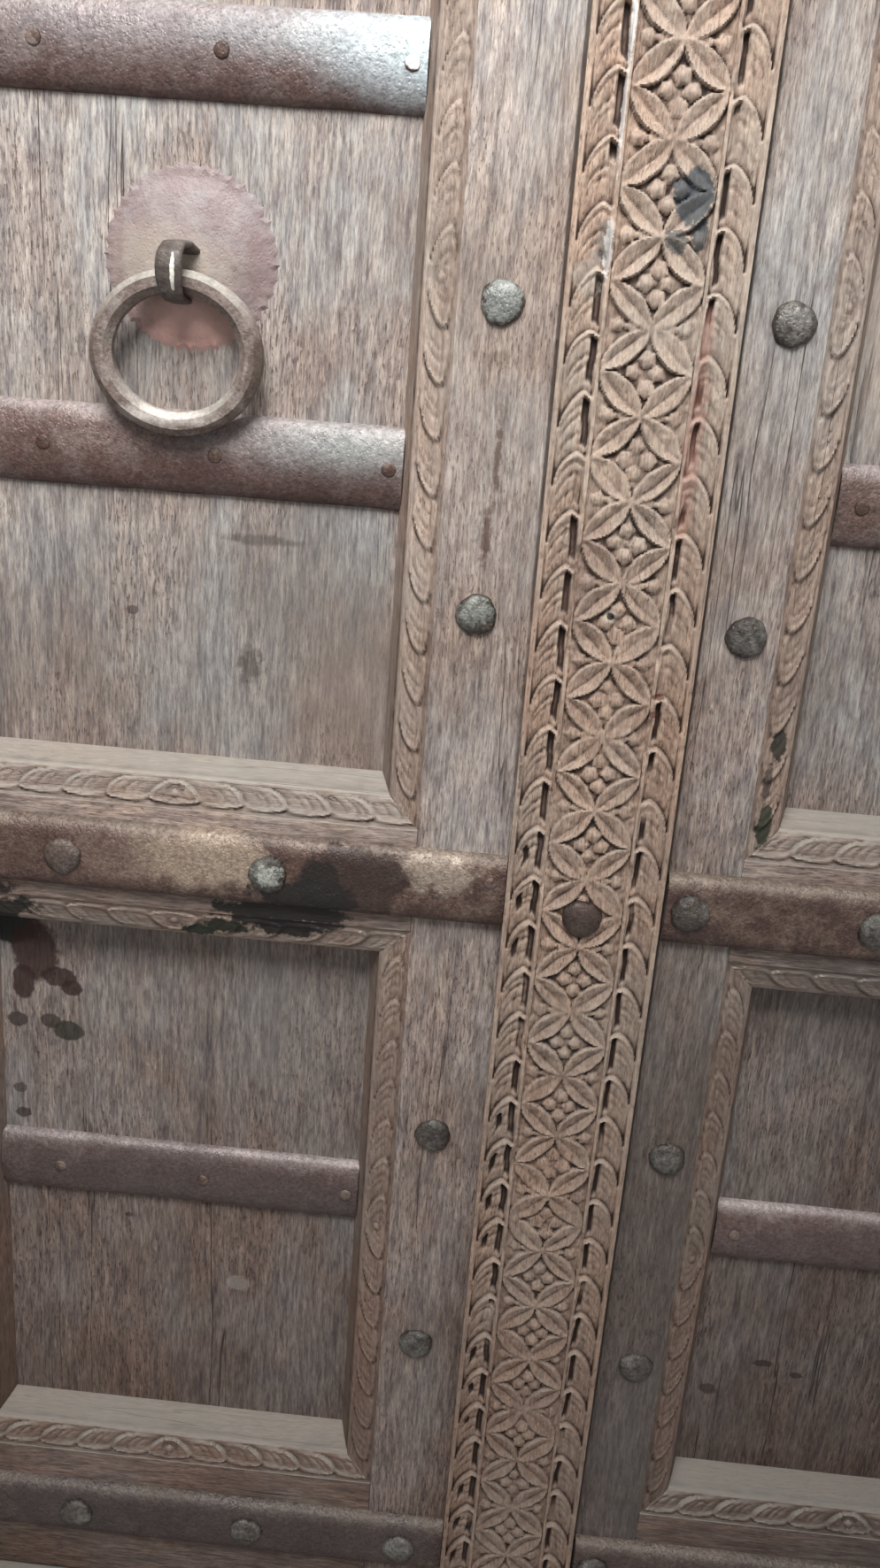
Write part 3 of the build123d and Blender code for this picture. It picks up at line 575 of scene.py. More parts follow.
strip_teak = teak_finish(
    "strip_teak", (0.47, 0.36, 0.28), (0.52, 0.44, 0.37), (0.22, 0.135, 0.10), 0.5, carved=0.66, top_dust_and_light=0.15,
    bump=0.6, foot_shading=0.72,
    marks=(
        (14, -24, 1117, 11, 13, 1.7, 0.85, (0.045, 0.062, 0.075)),
        (20, -24, 1098, 4, 9, 1.8, 0.8, (0.045, 0.062, 0.072)),
        (7, -24, 1094, 6, 7, 2.2, 0.7, (0.05, 0.065, 0.07)),
        (-31, -24, 1090, 5, 12, 2.2, 0.5, (0.12, 0.13, 0.135)),
        # Painted highlight: thin pale streaks along the edge of the left list.
        (-27.8, -25, 1238, 1.9, 22, 2.6, 0.62, (0.72, 0.72, 0.71)),
        (-28.0, -25, 1196, 1.5, 17, 2.8, 0.8, (0.75, 0.75, 0.74)),
        (-28.2, -25, 1155, 1.0, 26, 2.6, 0.7, (0.72, 0.70, 0.68)),
        (-28.8, -25, 1088, 2.2, 16, 2.8, 0.6, (0.70, 0.68, 0.66)),
        (-38, -24, 1074, 8, 11, 2.4, 0.45, (0.42, 0.38, 0.33)),
        (-3.9, -24, 886.6, 3.8, 3.8, 1.0, 0.6, (0.50, 0.44, 0.36)),
        (-3.9, -24, 886.6, 2.2, 2.2, 0.8, 0.95, (0.02, 0.018, 0.016)),
        (28.5, -24, 829, 3.6, 2.2, 0.9, 0.8, (0.10, 0.030, 0.022)),
        (30, -24, 840, 4.0, 1.8, 0.9, 0.75, (0.12, 0.036, 0.026)),
        (31, -24, 990, 5, 70, 1.9, 0.4, (0.36, 0.17, 0.13)),
        (-20, -24, 905, 14, 40, 1.9, 0.3, (0.16, 0.10, 0.08)),
    ),
)
strip_back_teak = teak_finish(
    "strip_back_teak", (0.33, 0.245, 0.185), (0.38, 0.31, 0.255), (0.14, 0.09, 0.065), 0.5
)

STRIP_ROWS = 1690
bands = (
    ("strip_lattice", ((0, 1), (-26.3, 26.3)), 54, lattice_relief),
    (
        "strip_left_border", ((0, 0.62, 1), (-STRIP_HALF, -33, -26.0)), 29,
        lambda x, z: border_relief(x, z, -1),
    ),
    (
        "strip_right_border", ((0, 0.38, 1), (26.0, 33, STRIP_HALF)), 29,
        lambda x, z: border_relief(x, z, 1),
    ),
)
for name, spots, columns, relief in bands:
    band = strip_band(name, spots, columns, STRIP_ROWS, relief)
    finish_piece(band, strip_teak, "left_leaf", "strip_wood", "cover_strip")


def block(name, low, high):
    """A plain block between two corners in mm."""
    bpy.ops.object.select_all(action="DESELECT")
    bpy.ops.mesh.primitive_cube_add(size=1)
    piece = bpy.context.object
    piece.name = piece.data.name = name
    centre = [(a + b) / 2 * MM for a, b in zip(low, high)]
    size = [(b - a) * MM for a, b in zip(low, high)]
    piece.data.transform(Matrix.Translation(centre) @ Matrix.Diagonal((*size, 1)))
    return piece


def board(name, low, high, edge):
    """A sawn board between two corners in mm, its arrises taken off."""
    piece = block(name, low, high)
    edit_all()
    bpy.ops.mesh.bevel(offset=edge * MM, segments=2, affect="EDGES")
    bpy.ops.object.mode_set(mode="OBJECT")
    smooth_below(35)
    return piece


backing = board(
    "strip_board", (-STRIP_HALF, BOARD_FRONT, STRIP_LOW), (STRIP_HALF, LEAF_FACE, STRIP_HIGH), 0.6
)
finish_piece(backing, strip_back_teak, "left_leaf", "strip_wood", "cover_strip")

# The stiles and rails of the two leaves: thick teak boards, tenoned together. The face
# between the mouldings is left plain; the outer stiles are rounded about their pins.
LEAF_BACK = 41.5
LEAF_LOW, LEAF_HIGH = 64.0, 2072.0
OPENINGS = {"lower": (187.0, 662.0), "middle": (734.0, 1402.0), "upper": (1474.0, 1949.0)}
RAILS = {"bottom": (64.0, 187.0), "lower": (662.0, 734.0), "upper": (1402.0, 1474.0), "top": (1949.0, 2072.0)}
LEAVES = {"left": (-430.0, -110.0), "right": (100.0, 420.0)}

stile_teak = teak_finish(
    "stile_teak", (0.42, 0.35, 0.305), (0.565, 0.535, 0.515), (0.18, 0.125, 0.105), 0.9, bump=0.8, foot_shading=0.85,
    marks=(
        (-79, -8.5, 972, 2.0, 24, 3.0, 0.8, (0.06, 0.028, 0.02), 0.4),
        (-82, -8.5, 926, 2.4, 15, 3.2, 0.8, (0.07, 0.03, 0.02), 0.4),
        (-86, -8.5, 1027, 9, 4.5, 3.0, 0.5, (0.12, 0.07, 0.05), 0.5),
        (-80, -8.5, 1000, 50, 170, 1.2, 0.36, (0.20, 0.15, 0.115), 0.6),
        (75, -8.5, 1130, 50, 210, 1.2, 0.24, (0.19, 0.15, 0.115), 0.6),
        (75, -8.5, 1000, 12, 120, 1.2, 0.25, (0.13, 0.10, 0.09), 0.6),
        (75, -8.5, 370, 80, 320, 1.0, 0.56, (0.070, 0.062, 0.056), 0.45),
        # Painted shadow: thin dark lines on the stiles along both edges of the cover strip.
        (-50.8, -8.5, 1330, 1.5, 560, 0.9, 0.85, (0.05, 0.034, 0.028), 0.3),
        (52.2, -8.5, 1050, 1.9, 1900, 0.9, 0.9, (0.035, 0.025, 0.02), 0.3),
    ),
)
rail_teak = teak_finish(
    "rail_teak", (0.35, 0.28, 0.24), (0.46, 0.42, 0.39), (0.16, 0.108, 0.085), 0.7, run="x",
    top_dust_and_light=0.4, bump=0.6,
    marks=(
        (-196, -8.5, 668, 44, 7, 2.0, 0.95, (0.010, 0.009, 0.009)),
        (-410, -8.5, 668, 30, 8, 2.0, 0.9, (0.012, 0.010, 0.009)),
    ),
)
stile_carving = teak_finish(
    "stile_carving", (0.42, 0.33, 0.27), (0.50, 0.435, 0.385), (0.20, 0.135, 0.10), 0.5, carved=0.55,
    top_dust_and_light=0.2, bump=0.6,
    marks=(
        (111, -4, 812, 5, 10, 1.6, 0.9, (0.02, 0.02, 0.015)),
        (109, -2, 757, 5, 14, 1.6, 0.9, (0.018, 0.025, 0.014)),
        (107, -4, 787, 3, 12, 1.8, 0.7, (0.03, 0.025, 0.02)),
        (-100, -6, 815, 3, 8, 1.4, 0.5, (0.05, 0.03, 0.02)),
    ),
)
rail_carving = teak_finish(
    "rail_carving", (0.40, 0.33, 0.275), (0.48, 0.45, 0.41), (0.20, 0.135, 0.105), 0.65, run="x", carved=0.55,
    top_dust_and_light=0.45, bump=0.5,
    marks=(
        (-200, -4, 663, 42, 9, 2.2, 0.95, (0.010, 0.008, 0.008)),
        (-196, 2, 655, 20, 7, 2.2, 0.95, (0.010, 0.008, 0.008)),
        (-236, 6, 652, 17, 6, 2.0, 0.95, (0.012, 0.016, 0.010)),
        (-254, 10, 647, 12, 5, 1.8, 0.95, (0.014, 0.020, 0.012)),
        (-395, 6, 650, 28, 13, 2.0, 0.95, (0.012, 0.012, 0.010)),
    ),
)

PIN_X, PIN_Y = 465.0, 16.5
PIN_RADIUS = 20.0
PIN_FOOT = 34.5
PIN_SUNK = 2
PIN_RISE = 40
NOSE = 24.8
ARRIS = 0.9


def gather(name, pieces):
    """Joins pieces that one CAD node stands for."""
    bpy.ops.object.select_all(action="DESELECT")
    for piece in pieces:
        piece.select_set(True)
    bpy.context.view_layer.objects.active = pieces[0]
    bpy.ops.object.join()
    joined = bpy.context.object
    joined.name = joined.data.name = name
    return joined


def pin(x, low, high):
    """A round pin turned on the end of an outer stile, its end chamfered."""
    bpy.ops.object.select_all(action="DESELECT")
    bpy.ops.mesh.primitive_cylinder_add(vertices=48, radius=PIN_RADIUS * MM, depth=(high - low) * MM)
    piece = bpy.context.object
    piece.data.transform(Matrix.Translation((x * MM, PIN_Y * MM, (low + high) / 2 * MM)))
    edit_all()
    bpy.ops.mesh.edges_select_sharp(sharpness=math.radians(60))
    bpy.ops.mesh.bevel(offset=1.5 * MM, segments=2, affect="EDGES")
    bpy.ops.object.mode_set(mode="OBJECT")
    smooth_below(35)
    return piece


def nosed_stile(name, low_x, high_x, hand):
    """An outer stile: its hinge edge rounded about the two pins that it turns on."""
    piece = block(name, (low_x, LEAF_FACE, LEAF_LOW), (high_x, LEAF_BACK, LEAF_HIGH))
    middle = (low_x + high_x) / 2 * MM
    bpy.ops.object.mode_set(mode="EDIT")
    bpy.ops.mesh.select_mode(type="EDGE")
    bpy.ops.mesh.select_all(action="DESELECT")
    bpy.ops.object.mode_set(mode="OBJECT")
    for line in piece.data.edges:
        a, b = (piece.data.vertices[corner].co for corner in line.vertices)
        line.select = abs(a.z - b.z) > 1 and hand * (a.x - middle) > 0
    bpy.ops.object.mode_set(mode="EDIT")
    bpy.ops.mesh.bevel(offset=NOSE * MM, segments=10, affect="EDGES")
    bpy.ops.mesh.select_mode(type="VERT")
    face_outwards()
    smooth_below(35)
    foot = pin(hand * PIN_X, PIN_FOOT, LEAF_LOW + PIN_SUNK)
    head = pin(hand * PIN_X, LEAF_HIGH - PIN_SUNK, LEAF_HIGH + PIN_RISE)
    return gather(name, [piece, foot, head])


for side, (low_x, high_x) in LEAVES.items():
    inner, hinge = ((-110.0, 26.5), (-490.0, -430.0)) if side == "left" else ((29.5, 100.0), (420.0, 490.0))
    low_corner, high_corner = (inner[0], LEAF_FACE, LEAF_LOW), (inner[1], LEAF_BACK, LEAF_HIGH)
    stile = board(side + "_inner_stile", low_corner, high_corner, ARRIS)
    finish_piece(stile, stile_teak, side + "_leaf", "stile_wood", side + "_meeting_stile")
    for name, (low, high) in RAILS.items():
        low_corner, high_corner = (low_x, LEAF_FACE, low), (high_x, LEAF_BACK, high)
        rail = board(side + "_" + name + "_rail_board", low_corner, high_corner, ARRIS)
        finish_piece(rail, rail_teak, side + "_leaf", "rail_wood", side + "_" + name + "_rail")
    outer = nosed_stile(side + "_outer_stile", hinge[0], hinge[1], -1 if side == "left" else 1)
    finish_piece(outer, stile_teak, side + "_leaf", "stile_wood", side + "_hinge_stile")

# The sunk moulding worked round every opening: overlapping leaves that turn round in the
# middle of each side, a fine rim towards the panel and a dusty ledge down to it.
MOULD = 20.0
TOE = 28.0
LEAF_PITCH = 31.0
NEAR_SPACING, FAR_SPACING = 1.45, 2.4


def leaf_row(s, a, length, rise):
    """Height of the leaf row over the slope of the moulding, in mm; a runs from the board to the panel."""
    half = length / 2
    off = np.abs(s - half)
    reach = half - MOULD + 4
    pitch = reach / max(1, round(reach / LEAF_PITCH))
    root = np.clip((17.6 - a) / 15.6, 0, 1)
    height, p = tongues(root, off, pitch, rise, 6, 81)
    scallop = 0.98 - 0.17 * np.abs(2 * p - 1) ** 3
    inside = ease(scallop - root, -0.02, 0.05)
    lip = 1.0 * ridge(root - scallop + 0.1, 0.05)
    height = (height * (1 - 0.35 * ease(root, 0.3, 0.75)) + lip) * inside
    eye = np.hypot(off * 0.85, a - 9.5)
    centre = 3.4 - 0.3 * eye - 1.4 * ridge(eye - 3.0, 0.7)
    height = np.where(eye < 5.6, np.maximum(centre, 0.7), height) * (0.6 + 0.25 * ease(a, 1, 7))
    on_rim = ease(a, 17.4, 18.0)
    rim = 1.9 - 0.9 * ridge(a - 17.2, 0.5)
    height = blend(on_rim, height, rim)
    return height + 0.16 * uneven(s, a, 2.1, 83) + 0.35 * uneven(s, a, 15, 87) * ease(a, 2, 7)


def moulding(name, start, along, inwards, length, spacing):
    """One side of the moulding round an opening, mitred at both ends."""
    rows = max(40, int(length / spacing))
    columns = 25

    def place(u, v):
        a = np.interp(u, (0, 0.72, 1), (0, MOULD, TOE))
        s = a + v * (length - 2 * a)
        relief = leaf_row(s, a, length, 30 if inwards[0] else 19) * (0.7 if inwards[1] < 0 else 1)
        ramp = np.clip((a - MOULD) / (TOE - MOULD), 0, 1)
        depth = np.where(a < MOULD, 1 + 8 * a / MOULD, 9 + 23 * ramp ** 1.25)
        relief = np.where(a < MOULD, relief, 1.5 * ease(0.12 - ramp, 0, 0.12) + 0.3 * uneven(s, a * 3, 9, 91))
        relief = relief * ease(a, 0, 0.6)
        x = start[0] + along[0] * s + inwards[0] * a
        z = start[1] + along[1] * s + inwards[1] * a
        return np.stack([x, LEAF_FACE + depth - relief, z], 1), relief

    return carved_sheet(name, columns, rows, place, (0, 5, 0))


def moulding_core(name, start, along, inwards, length):
    """The solid wood behind one side of the moulding, a block cut to its slope and mitres."""
    bpy.ops.object.select_all(action="DESELECT")
    bpy.ops.mesh.primitive_cube_add(size=1)
    piece = bpy.context.object
    piece.name = piece.data.name = name
    for corner in piece.data.vertices:
        near = corner.co.x < 0
        front = corner.co.y < 0
        a = 0.0 if near else (27.0 if front else 24.0)
        s = a if corner.co.z < 0 else length - a
        depth = (6.0 if near else 34.0) if front else 50.0
        x = start[0] + along[0] * s + inwards[0] * a
        z = start[1] + along[1] * s + inwards[1] * a
        corner.co = (x * MM, (LEAF_FACE + depth) * MM, z * MM)
    edit_all()
    bpy.ops.mesh.normals_make_consistent(inside=False)
    bpy.ops.mesh.bevel(offset=0.8 * MM, segments=1, affect="EDGES")
    bpy.ops.object.mode_set(mode="OBJECT")
    return piece


for side, (low_x, high_x) in LEAVES.items():
    low_x_node, high_x_node = "_hinge_stile", "_meeting_stile"
    if side == "right":
        low_x_node, high_x_node = high_x_node, low_x_node
    for opening, (low, high) in OPENINGS.items():
        below = {"lower": "bottom", "middle": "lower", "upper": "upper"}[opening]
        above = {"lower": "lower", "middle": "upper", "upper": "top"}[opening]
        spacing = FAR_SPACING if opening == "upper" else NEAR_SPACING
        wide, tall = high_x - low_x, high - low
        runs = (
            ("sill", (low_x, low), (1, 0), (0, 1), wide, rail_carving, rail_teak, "_" + below + "_rail"),
            ("head", (high_x, high), (-1, 0), (0, -1), wide, rail_carving, rail_teak, "_" + above + "_rail"),
            ("low_x_side", (low_x, high), (0, -1), (1, 0), tall, stile_carving, stile_teak, low_x_node),
            ("high_x_side", (high_x, low), (0, 1), (-1, 0), tall, stile_carving, stile_teak, high_x_node),
        )
        for run, start, along, inwards, length, carving, plain, node in runs:
            label = side + "_" + opening + "_" + run
            slot = "rail_wood" if plain is rail_teak else "stile_wood"
            carved = moulding(label + "_moulding", start, along, inwards, length, spacing)
            finish_piece(carved, carving, side + "_leaf", slot, side + node)
            core = moulding_core(label + "_ledge", start, along, inwards, length)
            finish_piece(core, plain, side + "_leaf", slot, side + node)

# The sunk panels: single plain boards of teak with the grain upright, held loosely in
# grooves round the openings, so that the wood can swell and shrink.
panel_teak = teak_finish(
    "panel_teak", (0.355, 0.295, 0.26), (0.445, 0.43, 0.415), (0.16, 0.115, 0.098), 0.95, bump=0.9,
    marks=(
        (-395, 23, 626, 24, 16, 1.3, 0.95, (0.012, 0.014, 0.014)),
        (-376, 23, 606, 17, 22, 1.0, 0.88, (0.040, 0.018, 0.015)),
        (-386, 23, 580, 8, 14, 0.8, 0.88, (0.036, 0.016, 0.014)),
        (-360, 23, 586, 13, 8, 0.8, 0.88, (0.034, 0.017, 0.014)),
        (-351, 23, 578, 8, 6, 0.7, 0.88, (0.034, 0.017, 0.014)),
        (-391, 23, 549, 7.5, 6, 0.6, 0.85, (0.045, 0.032, 0.026)),
        (-367, 23, 550, 7.5, 6, 0.6, 0.85, (0.045, 0.032, 0.026)),
        (-354, 23, 543, 11, 8, 0.6, 0.88, (0.032, 0.030, 0.022)),
        (-391, 23, 492, 5, 4, 1.2, 0.7, (0.05, 0.035, 0.03)),
        (-168, 23, 560, 50, 60, 2.2, 0.3, (0.19, 0.18, 0.165)),
        (-223, 23, 907, 24, 3.2, 2.4, 0.62, (0.05, 0.034, 0.026), 0.35),
        (-306, 23, 856, 4, 3, 0.8, 0.75, (0.05, 0.025, 0.02)),
        (-229, 23, 826, 7, 11, 2.6, 0.62, (0.04, 0.025, 0.02), 0.3),
        (-389, 23, 471, 6, 4, 1.2, 0.75, (0.03, 0.015, 0.012)),
        (-310, 23, 390, 3, 2, 0.8, 0.7, (0.04, 0.02, 0.016)),
        (182, 23, 314, 8, 3, 1.3, 0.8, (0.025, 0.016, 0.014)),
        (208, 23, 306, 5, 3, 1.3, 0.75, (0.025, 0.016, 0.014)),
        (143, 23, 285, 7, 5, 1.3, 0.7, (0.035, 0.018, 0.015)),
        (-225, 23, 337, 9, 7, 1.6, 0.35, (0.42, 0.38, 0.33)),
        (-278, 23, 1000, 34, 26, 1.3, 0.3, (0.20, 0.185, 0.17)),
        (-185, 23, 880, 50, 60, 1.6, 0.22, (0.16, 0.145, 0.13)),
        (200, 23, 1120, 90, 130, 1.2, 0.6, (0.60, 0.48, 0.385), 0.5),
        (-230, 23, 830, 150, 70, 1.8, 0.3, (0.19, 0.165, 0.145), 0.5),
        (-160, 23, 800, 40, 60, 1.6, 0.4, (0.27, 0.19, 0.145), 0.5),
    ),
)
for side in LEAVES:
    for opening in OPENINGS:
        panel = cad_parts[side + "_" + opening + "_panel"]
        for spot in panel.material_slots:
            spot.material = panel_teak

# Iron straps: rolled bars on the rails and thinner arched ones across the panels, all brown-red with rust and
# pitted.
# The straps across the left middle panel carry painted highlights above and painted shade below.
iron, iron_in, iron_out = effect(
    "old_iron",
    [("v", "Place"), ("c", "Rust"), ("c", "Dark"), ("c", "Bloom"), ("f", "Blooming"), ("f", "Specks")],
    [("c", "Colour"), ("f", "Height"), ("f", "Roughness")],
)
place = iron_in["Place"]
scale_patch = noise(iron, place, 28.0, 6.0, 0.62)
pits = step(iron, "ShaderNodeTexVoronoi", {"feature": "F1"}, Vector=place, Scale=420.0).outputs["Distance"]
speck = noise(iron, place, 520.0, 3.0, 0.7)
bloom = noise(iron, place, 55.0, 5.0, 0.65)
crust = noise(iron, place, 190.0, 4.0, 0.65)
scale_patch = calc(iron, "MULTIPLY_ADD", less(iron, crust, 0.5), 0.45, scale_patch)
colour = tint(iron, spread(iron, scale_patch, 0.36, 0.62), iron_in["Rust"], iron_in["Dark"])
specks = times(iron, spread(iron, speck, 0.40, 0.62, 0.5, 0.0), iron_in["Specks"])
colour = tint(iron, specks, colour, (0.03, 0.018, 0.014, 1))
powder = plus(iron, bloom, times(iron, speck, 0.2))
powder = times(iron, spread(iron, powder, 0.56, 0.78), iron_in["Blooming"])
colour = tint(iron, powder, colour, iron_in["Bloom"])
high = plus(iron, times(iron, speck, 0.7), spread(iron, pits, 0.0, 0.4, 0.0, 0.6))
high = plus(iron, high, times(iron, scale_patch, 1.2))
high = plus(iron, high, times(iron, crust, 1.4))
wire(iron, colour, iron_out["Colour"])
wire(iron, high, iron_out["Height"])
dull = plus(iron, spread(iron, scale_patch, 0.3, 0.7, 0.36, 0.54), times(iron, powder, 0.3))
wire(iron, dull, iron_out["Roughness"])


def iron_finish(
    name, rust, dark, bloom_colour, blooming, bump=0.5, metal=0.25, top_dust_and_light=0.0,
    dust_colour=(0.36, 0.31, 0.25), specks=1.0, gloss=0.5, gritty=0.0, marks=(),
):
    """A material of old rusted iron."""
    material, tree, shader = blank(name)
    place = tree.nodes.new("ShaderNodeTexCoord").outputs["Object"]
    old = use(
        tree, iron, Place=place, Rust=(*rust, 1), Dark=(*dark, 1), Bloom=(*bloom_colour, 1),
        Blooming=blooming, Specks=specks,
    )
    colour = old.outputs["Colour"]
    # Dust on upward faces, which also stands for painted light on them.
    if top_dust_and_light:
        dusted_and_lit = use(tree, dust_and_top_light, Colour=colour, Place=place, Dust=(*dust_colour, 1), Strength=top_dust_and_light)
        colour = dusted_and_lit.outputs["Colour"]
    colour = spoil(tree, place, colour, marks)
    if gritty:
        grit = spread(tree, noise(tree, place, 340.0, 4.0, 0.7), 0.36, 0.64, 1 - gritty, 1 + 0.6 * gritty)
        colour = tint(tree, 1.0, colour, greys(tree, grit, grit), "MULTIPLY")
    dress(tree, shader, colour, old, bump, 0.6 * MM)
    shader.inputs["Metallic"].default_value = metal
    shader.inputs["Specular IOR Level"].default_value = gloss
    return material


rail_strap_iron = iron_finish(
    "rail_strap_iron", (0.135, 0.074, 0.056), (0.074, 0.038, 0.031), (0.24, 0.175, 0.135), 0.55,
    top_dust_and_light=0.35, bump=0.9, gritty=0.4,
    marks=(
        (-250, -18, 704, 44, 20, 2.6, 0.7, (0.44, 0.34, 0.255), 0.3),
        (-300, -18, 700, 34, 16, 3.0, 0.4, (0.34, 0.25, 0.19), 0.3),
        (-95, -18, 710, 24, 13, 2.8, 0.7, (0.42, 0.34, 0.27), 0.3),
        (-260, -18, 135, 260, 40, 1.4, 0.65, (0.042, 0.034, 0.036), 0.4),
        (260, -18, 135, 260, 40, 1.4, 0.55, (0.045, 0.036, 0.036), 0.4),
        (-330, -18, 698, 60, 24, 2.6, 0.3, (0.10, 0.05, 0.045)),
        (-146, -18, 700, 34, 26, 1.9, 0.85, (0.035, 0.018, 0.014)),
        (-180, -18, 683, 34, 13, 2.0, 0.95, (0.010, 0.007, 0.006)),
        (-172, -16, 694, 17, 14, 2.2, 0.9, (0.011, 0.008, 0.007)),
    ),
)
panel_strap_iron = iron_finish(
    "panel_strap_iron", (0.20, 0.125, 0.108), (0.13, 0.075, 0.064), (0.30, 0.245, 0.23), 0.5, bump=0.7,
    metal=0.2, top_dust_and_light=0.75, dust_colour=(0.42, 0.36, 0.345), gritty=0.35,
    marks=(
        # Painted highlights on the upper sides of the two straps across the left middle panel, pale and
        # bluish near the cover strip.
        (-290, 17, 1190, 130, 16, 1.6, 0.35, (0.30, 0.30, 0.31), 0.6),
        (-126, 17, 1184, 52, 22, 1.4, 0.95, (0.66, 0.78, 0.82), 0.75),
        (-175, 17, 1188, 60, 12, 1.8, 0.5, (0.42, 0.45, 0.46), 0.7),
        (-165, 17, 968, 66, 14, 1.6, 0.62, (0.36, 0.39, 0.38), 0.8),
        # Painted shade along the lower sides of the same two straps.
        (-300, 17, 946, 120, 13, 2.2, 0.5, (0.075, 0.036, 0.03), 0.6),
        (-180, 17, 944, 80, 11, 2.2, 0.5, (0.065, 0.034, 0.03), 0.6),
        (-270, 17, 1164, 170, 12, 2.2, 0.45, (0.08, 0.045, 0.04), 0.6),
        (-270, 17, 430, 200, 30, 1.6, 0.75, (0.066, 0.047, 0.044), 0.4),
        (250, 17, 430, 200, 26, 1.6, 0.6, (0.075, 0.052, 0.05), 0.4),
    ),
)
STRAP = 25.0
STRAP_RISE = 9.4
STRAP_FACE = LEAF_FACE - 9.3
PANEL_FACE = 23.5
STRAP_INSET = 26.5


def strap(name, low_x, high_x, z, back_y, rise, crest):
    """One iron strap, its face hammered slightly uneven."""
    length = high_x - low_x

    def place(u, v):
        x = low_x + length * u
        w = (v - 0.5) * 2
        shoulder = np.clip((np.abs(w) - crest) / (1 - crest), 0, 1)
        height = rise * np.sqrt(np.clip(1 - shoulder ** 2.2, 0, 1))
        dents = 0.28 * uneven(x, w * STRAP + z, 17, 101) + 0.12 * uneven(x, w * STRAP + z, 4, 103)
        height = np.maximum(height + dents * ease(height, 0.5, 4), 0.05)
        edge = STRAP * w + 0.35 * uneven(x, np.sign(w) * 40 + z, 23, 107) * ease(np.abs(w), 0.8, 1)
        return np.stack([x, back_y - height, z + edge], 1), height

    return carved_sheet(name, int(length / 4), 24, place, (0, 0.25, 0))


strap_heights = {"bottom": 135.0, "lower": 698.0, "upper": 1438.0, "top": 2001.0}
panel_strap_heights = {"lower": (434.0,), "middle": (957.78, 1178.22), "upper": (1702.0,)}
for side, (low_x, high_x) in LEAVES.items():
    ends = (-466.0, -50.5) if side == "left" else (53.5, 466.0)
    for name, z in strap_heights.items():
        bar = strap(side + "_" + name + "_rail_bar", *ends, z, LEAF_FACE, STRAP_RISE, 0.42)
        finish_piece(bar, rail_strap_iron, side + "_leaf", "strap_iron", side + "_" + name + "_rail_strap")
    for opening, heights in panel_strap_heights.items():
        for number, z in enumerate(heights, start=1):
            label = side + "_" + opening + "_panel_"
            low_end, high_end = low_x + STRAP_INSET, high_x - STRAP_INSET
            bar = strap(label + "bar_" + str(number), low_end, high_end, z, PANEL_FACE, STRAP_RISE, 0.0)
            finish_piece(bar, panel_strap_iron, side + "_leaf", "strap_iron", label + "strap_" + str(number))

# Domed studs: forged heads driven through the stiles, the rail straps and the cover strip,
# their rims hammered a little out of round and their crowns worn grey.
stud_iron = iron_finish(
    "stud_iron", (0.115, 0.095, 0.08), (0.042, 0.035, 0.029), (0.27, 0.265, 0.24), 0.6, metal=0.3, bump=0.9,
    gritty=0.5,
    marks=(
        (-84, -12, 1057, 12, 12, 2.4, 0.7, (0.34, 0.355, 0.33)),
        (80, -12, 1059, 9, 8, 2.6, 0.5, (0.27, 0.26, 0.24)),
        (-84, -12, 880, 9, 8, 2.6, 0.55, (0.27, 0.285, 0.25)),
        (-205, -20, 699, 8, 7, 3.0, 0.8, (0.42, 0.43, 0.38)),
        (-341, -20, 700, 12, 12, 2.4, 0.7, (0.13, 0.085, 0.07)),
    ),
)
dark_stud_iron = iron_finish(
    "dark_stud_iron", (0.07, 0.04, 0.03), (0.032, 0.02, 0.016), (0.12, 0.09, 0.07), 0.4, metal=0.3, bump=0.8,
    gritty=0.4,
)


def stud(x, back_y, z, radius, height, seed):
    """One stud head: a cap of rings, dented by the hammer."""
    fine = radius > 6
    bpy.ops.mesh.primitive_uv_sphere_add(segments=26 if fine else 16, ring_count=14 if fine else 10, radius=1)
    piece = bpy.context.object
    flat = corners_of(piece)
    turn = np.arctan2(flat[:, 1], flat[:, 0])
    out = np.hypot(flat[:, 0], flat[:, 1])
    up = np.clip(flat[:, 2], -0.12, 1)
    ragged = 1 + 0.035 * np.cos(3 * turn + seed) + 0.022 * np.cos(8 * turn + 2 * seed)
    rise = np.where(up > 0, up ** 0.8, up)
    dent = 0.3 * uneven(flat[:, 0] * 12 + seed * 7, flat[:, 1] * 12, 4.5, 111) * (rise > 0.05)
    points = np.stack([
        x + radius * out * ragged * np.cos(turn),
        back_y - height * np.maximum(rise, -0.08) - dent,
        z + radius * out * ragged * np.sin(turn),
    ], 1)
    move_corners(piece, points)
    bpy.ops.object.mode_set(mode="EDIT")
    face_outwards()
    bpy.ops.object.shade_smooth()
    return piece


STUD = (12.6, 5.6)
stile_stud_z = (327.1, 508.1, 878.0, 1057.0, 1248.0, 1627.9, 1808.9)
strap_stud_x = {"left": (-452, -341, -205), "right": (69, 189, 328, 450)}
stile_stud_x = {"left": (-84, -452), "right": (80, 450)}
for side in LEAVES:
    heads = []
    for x in stile_stud_x[side]:
        for z in stile_stud_z:
            heads.append(stud(x, LEAF_FACE, z, *STUD, x + z))
    for x in strap_stud_x[side]:
        for z in strap_heights.values():
            heads.append(stud(x, STRAP_FACE, z, *STUD, x + z))
    if side == "left":
        for name in ("bottom", "top"):
            z = strap_heights[name]
            heads.append(stud(stile_stud_x[side][0], STRAP_FACE, z, *STUD, z))
    finish_piece(gather(side + "_stud_heads", heads), stud_iron, side + "_leaf", "stud_iron", side + "_studs")
heads = [stud(0, STRIP_GROUND - 2.6, z, 12.9, 6.0, z) for z in (100, 690, 1446, 2026)]
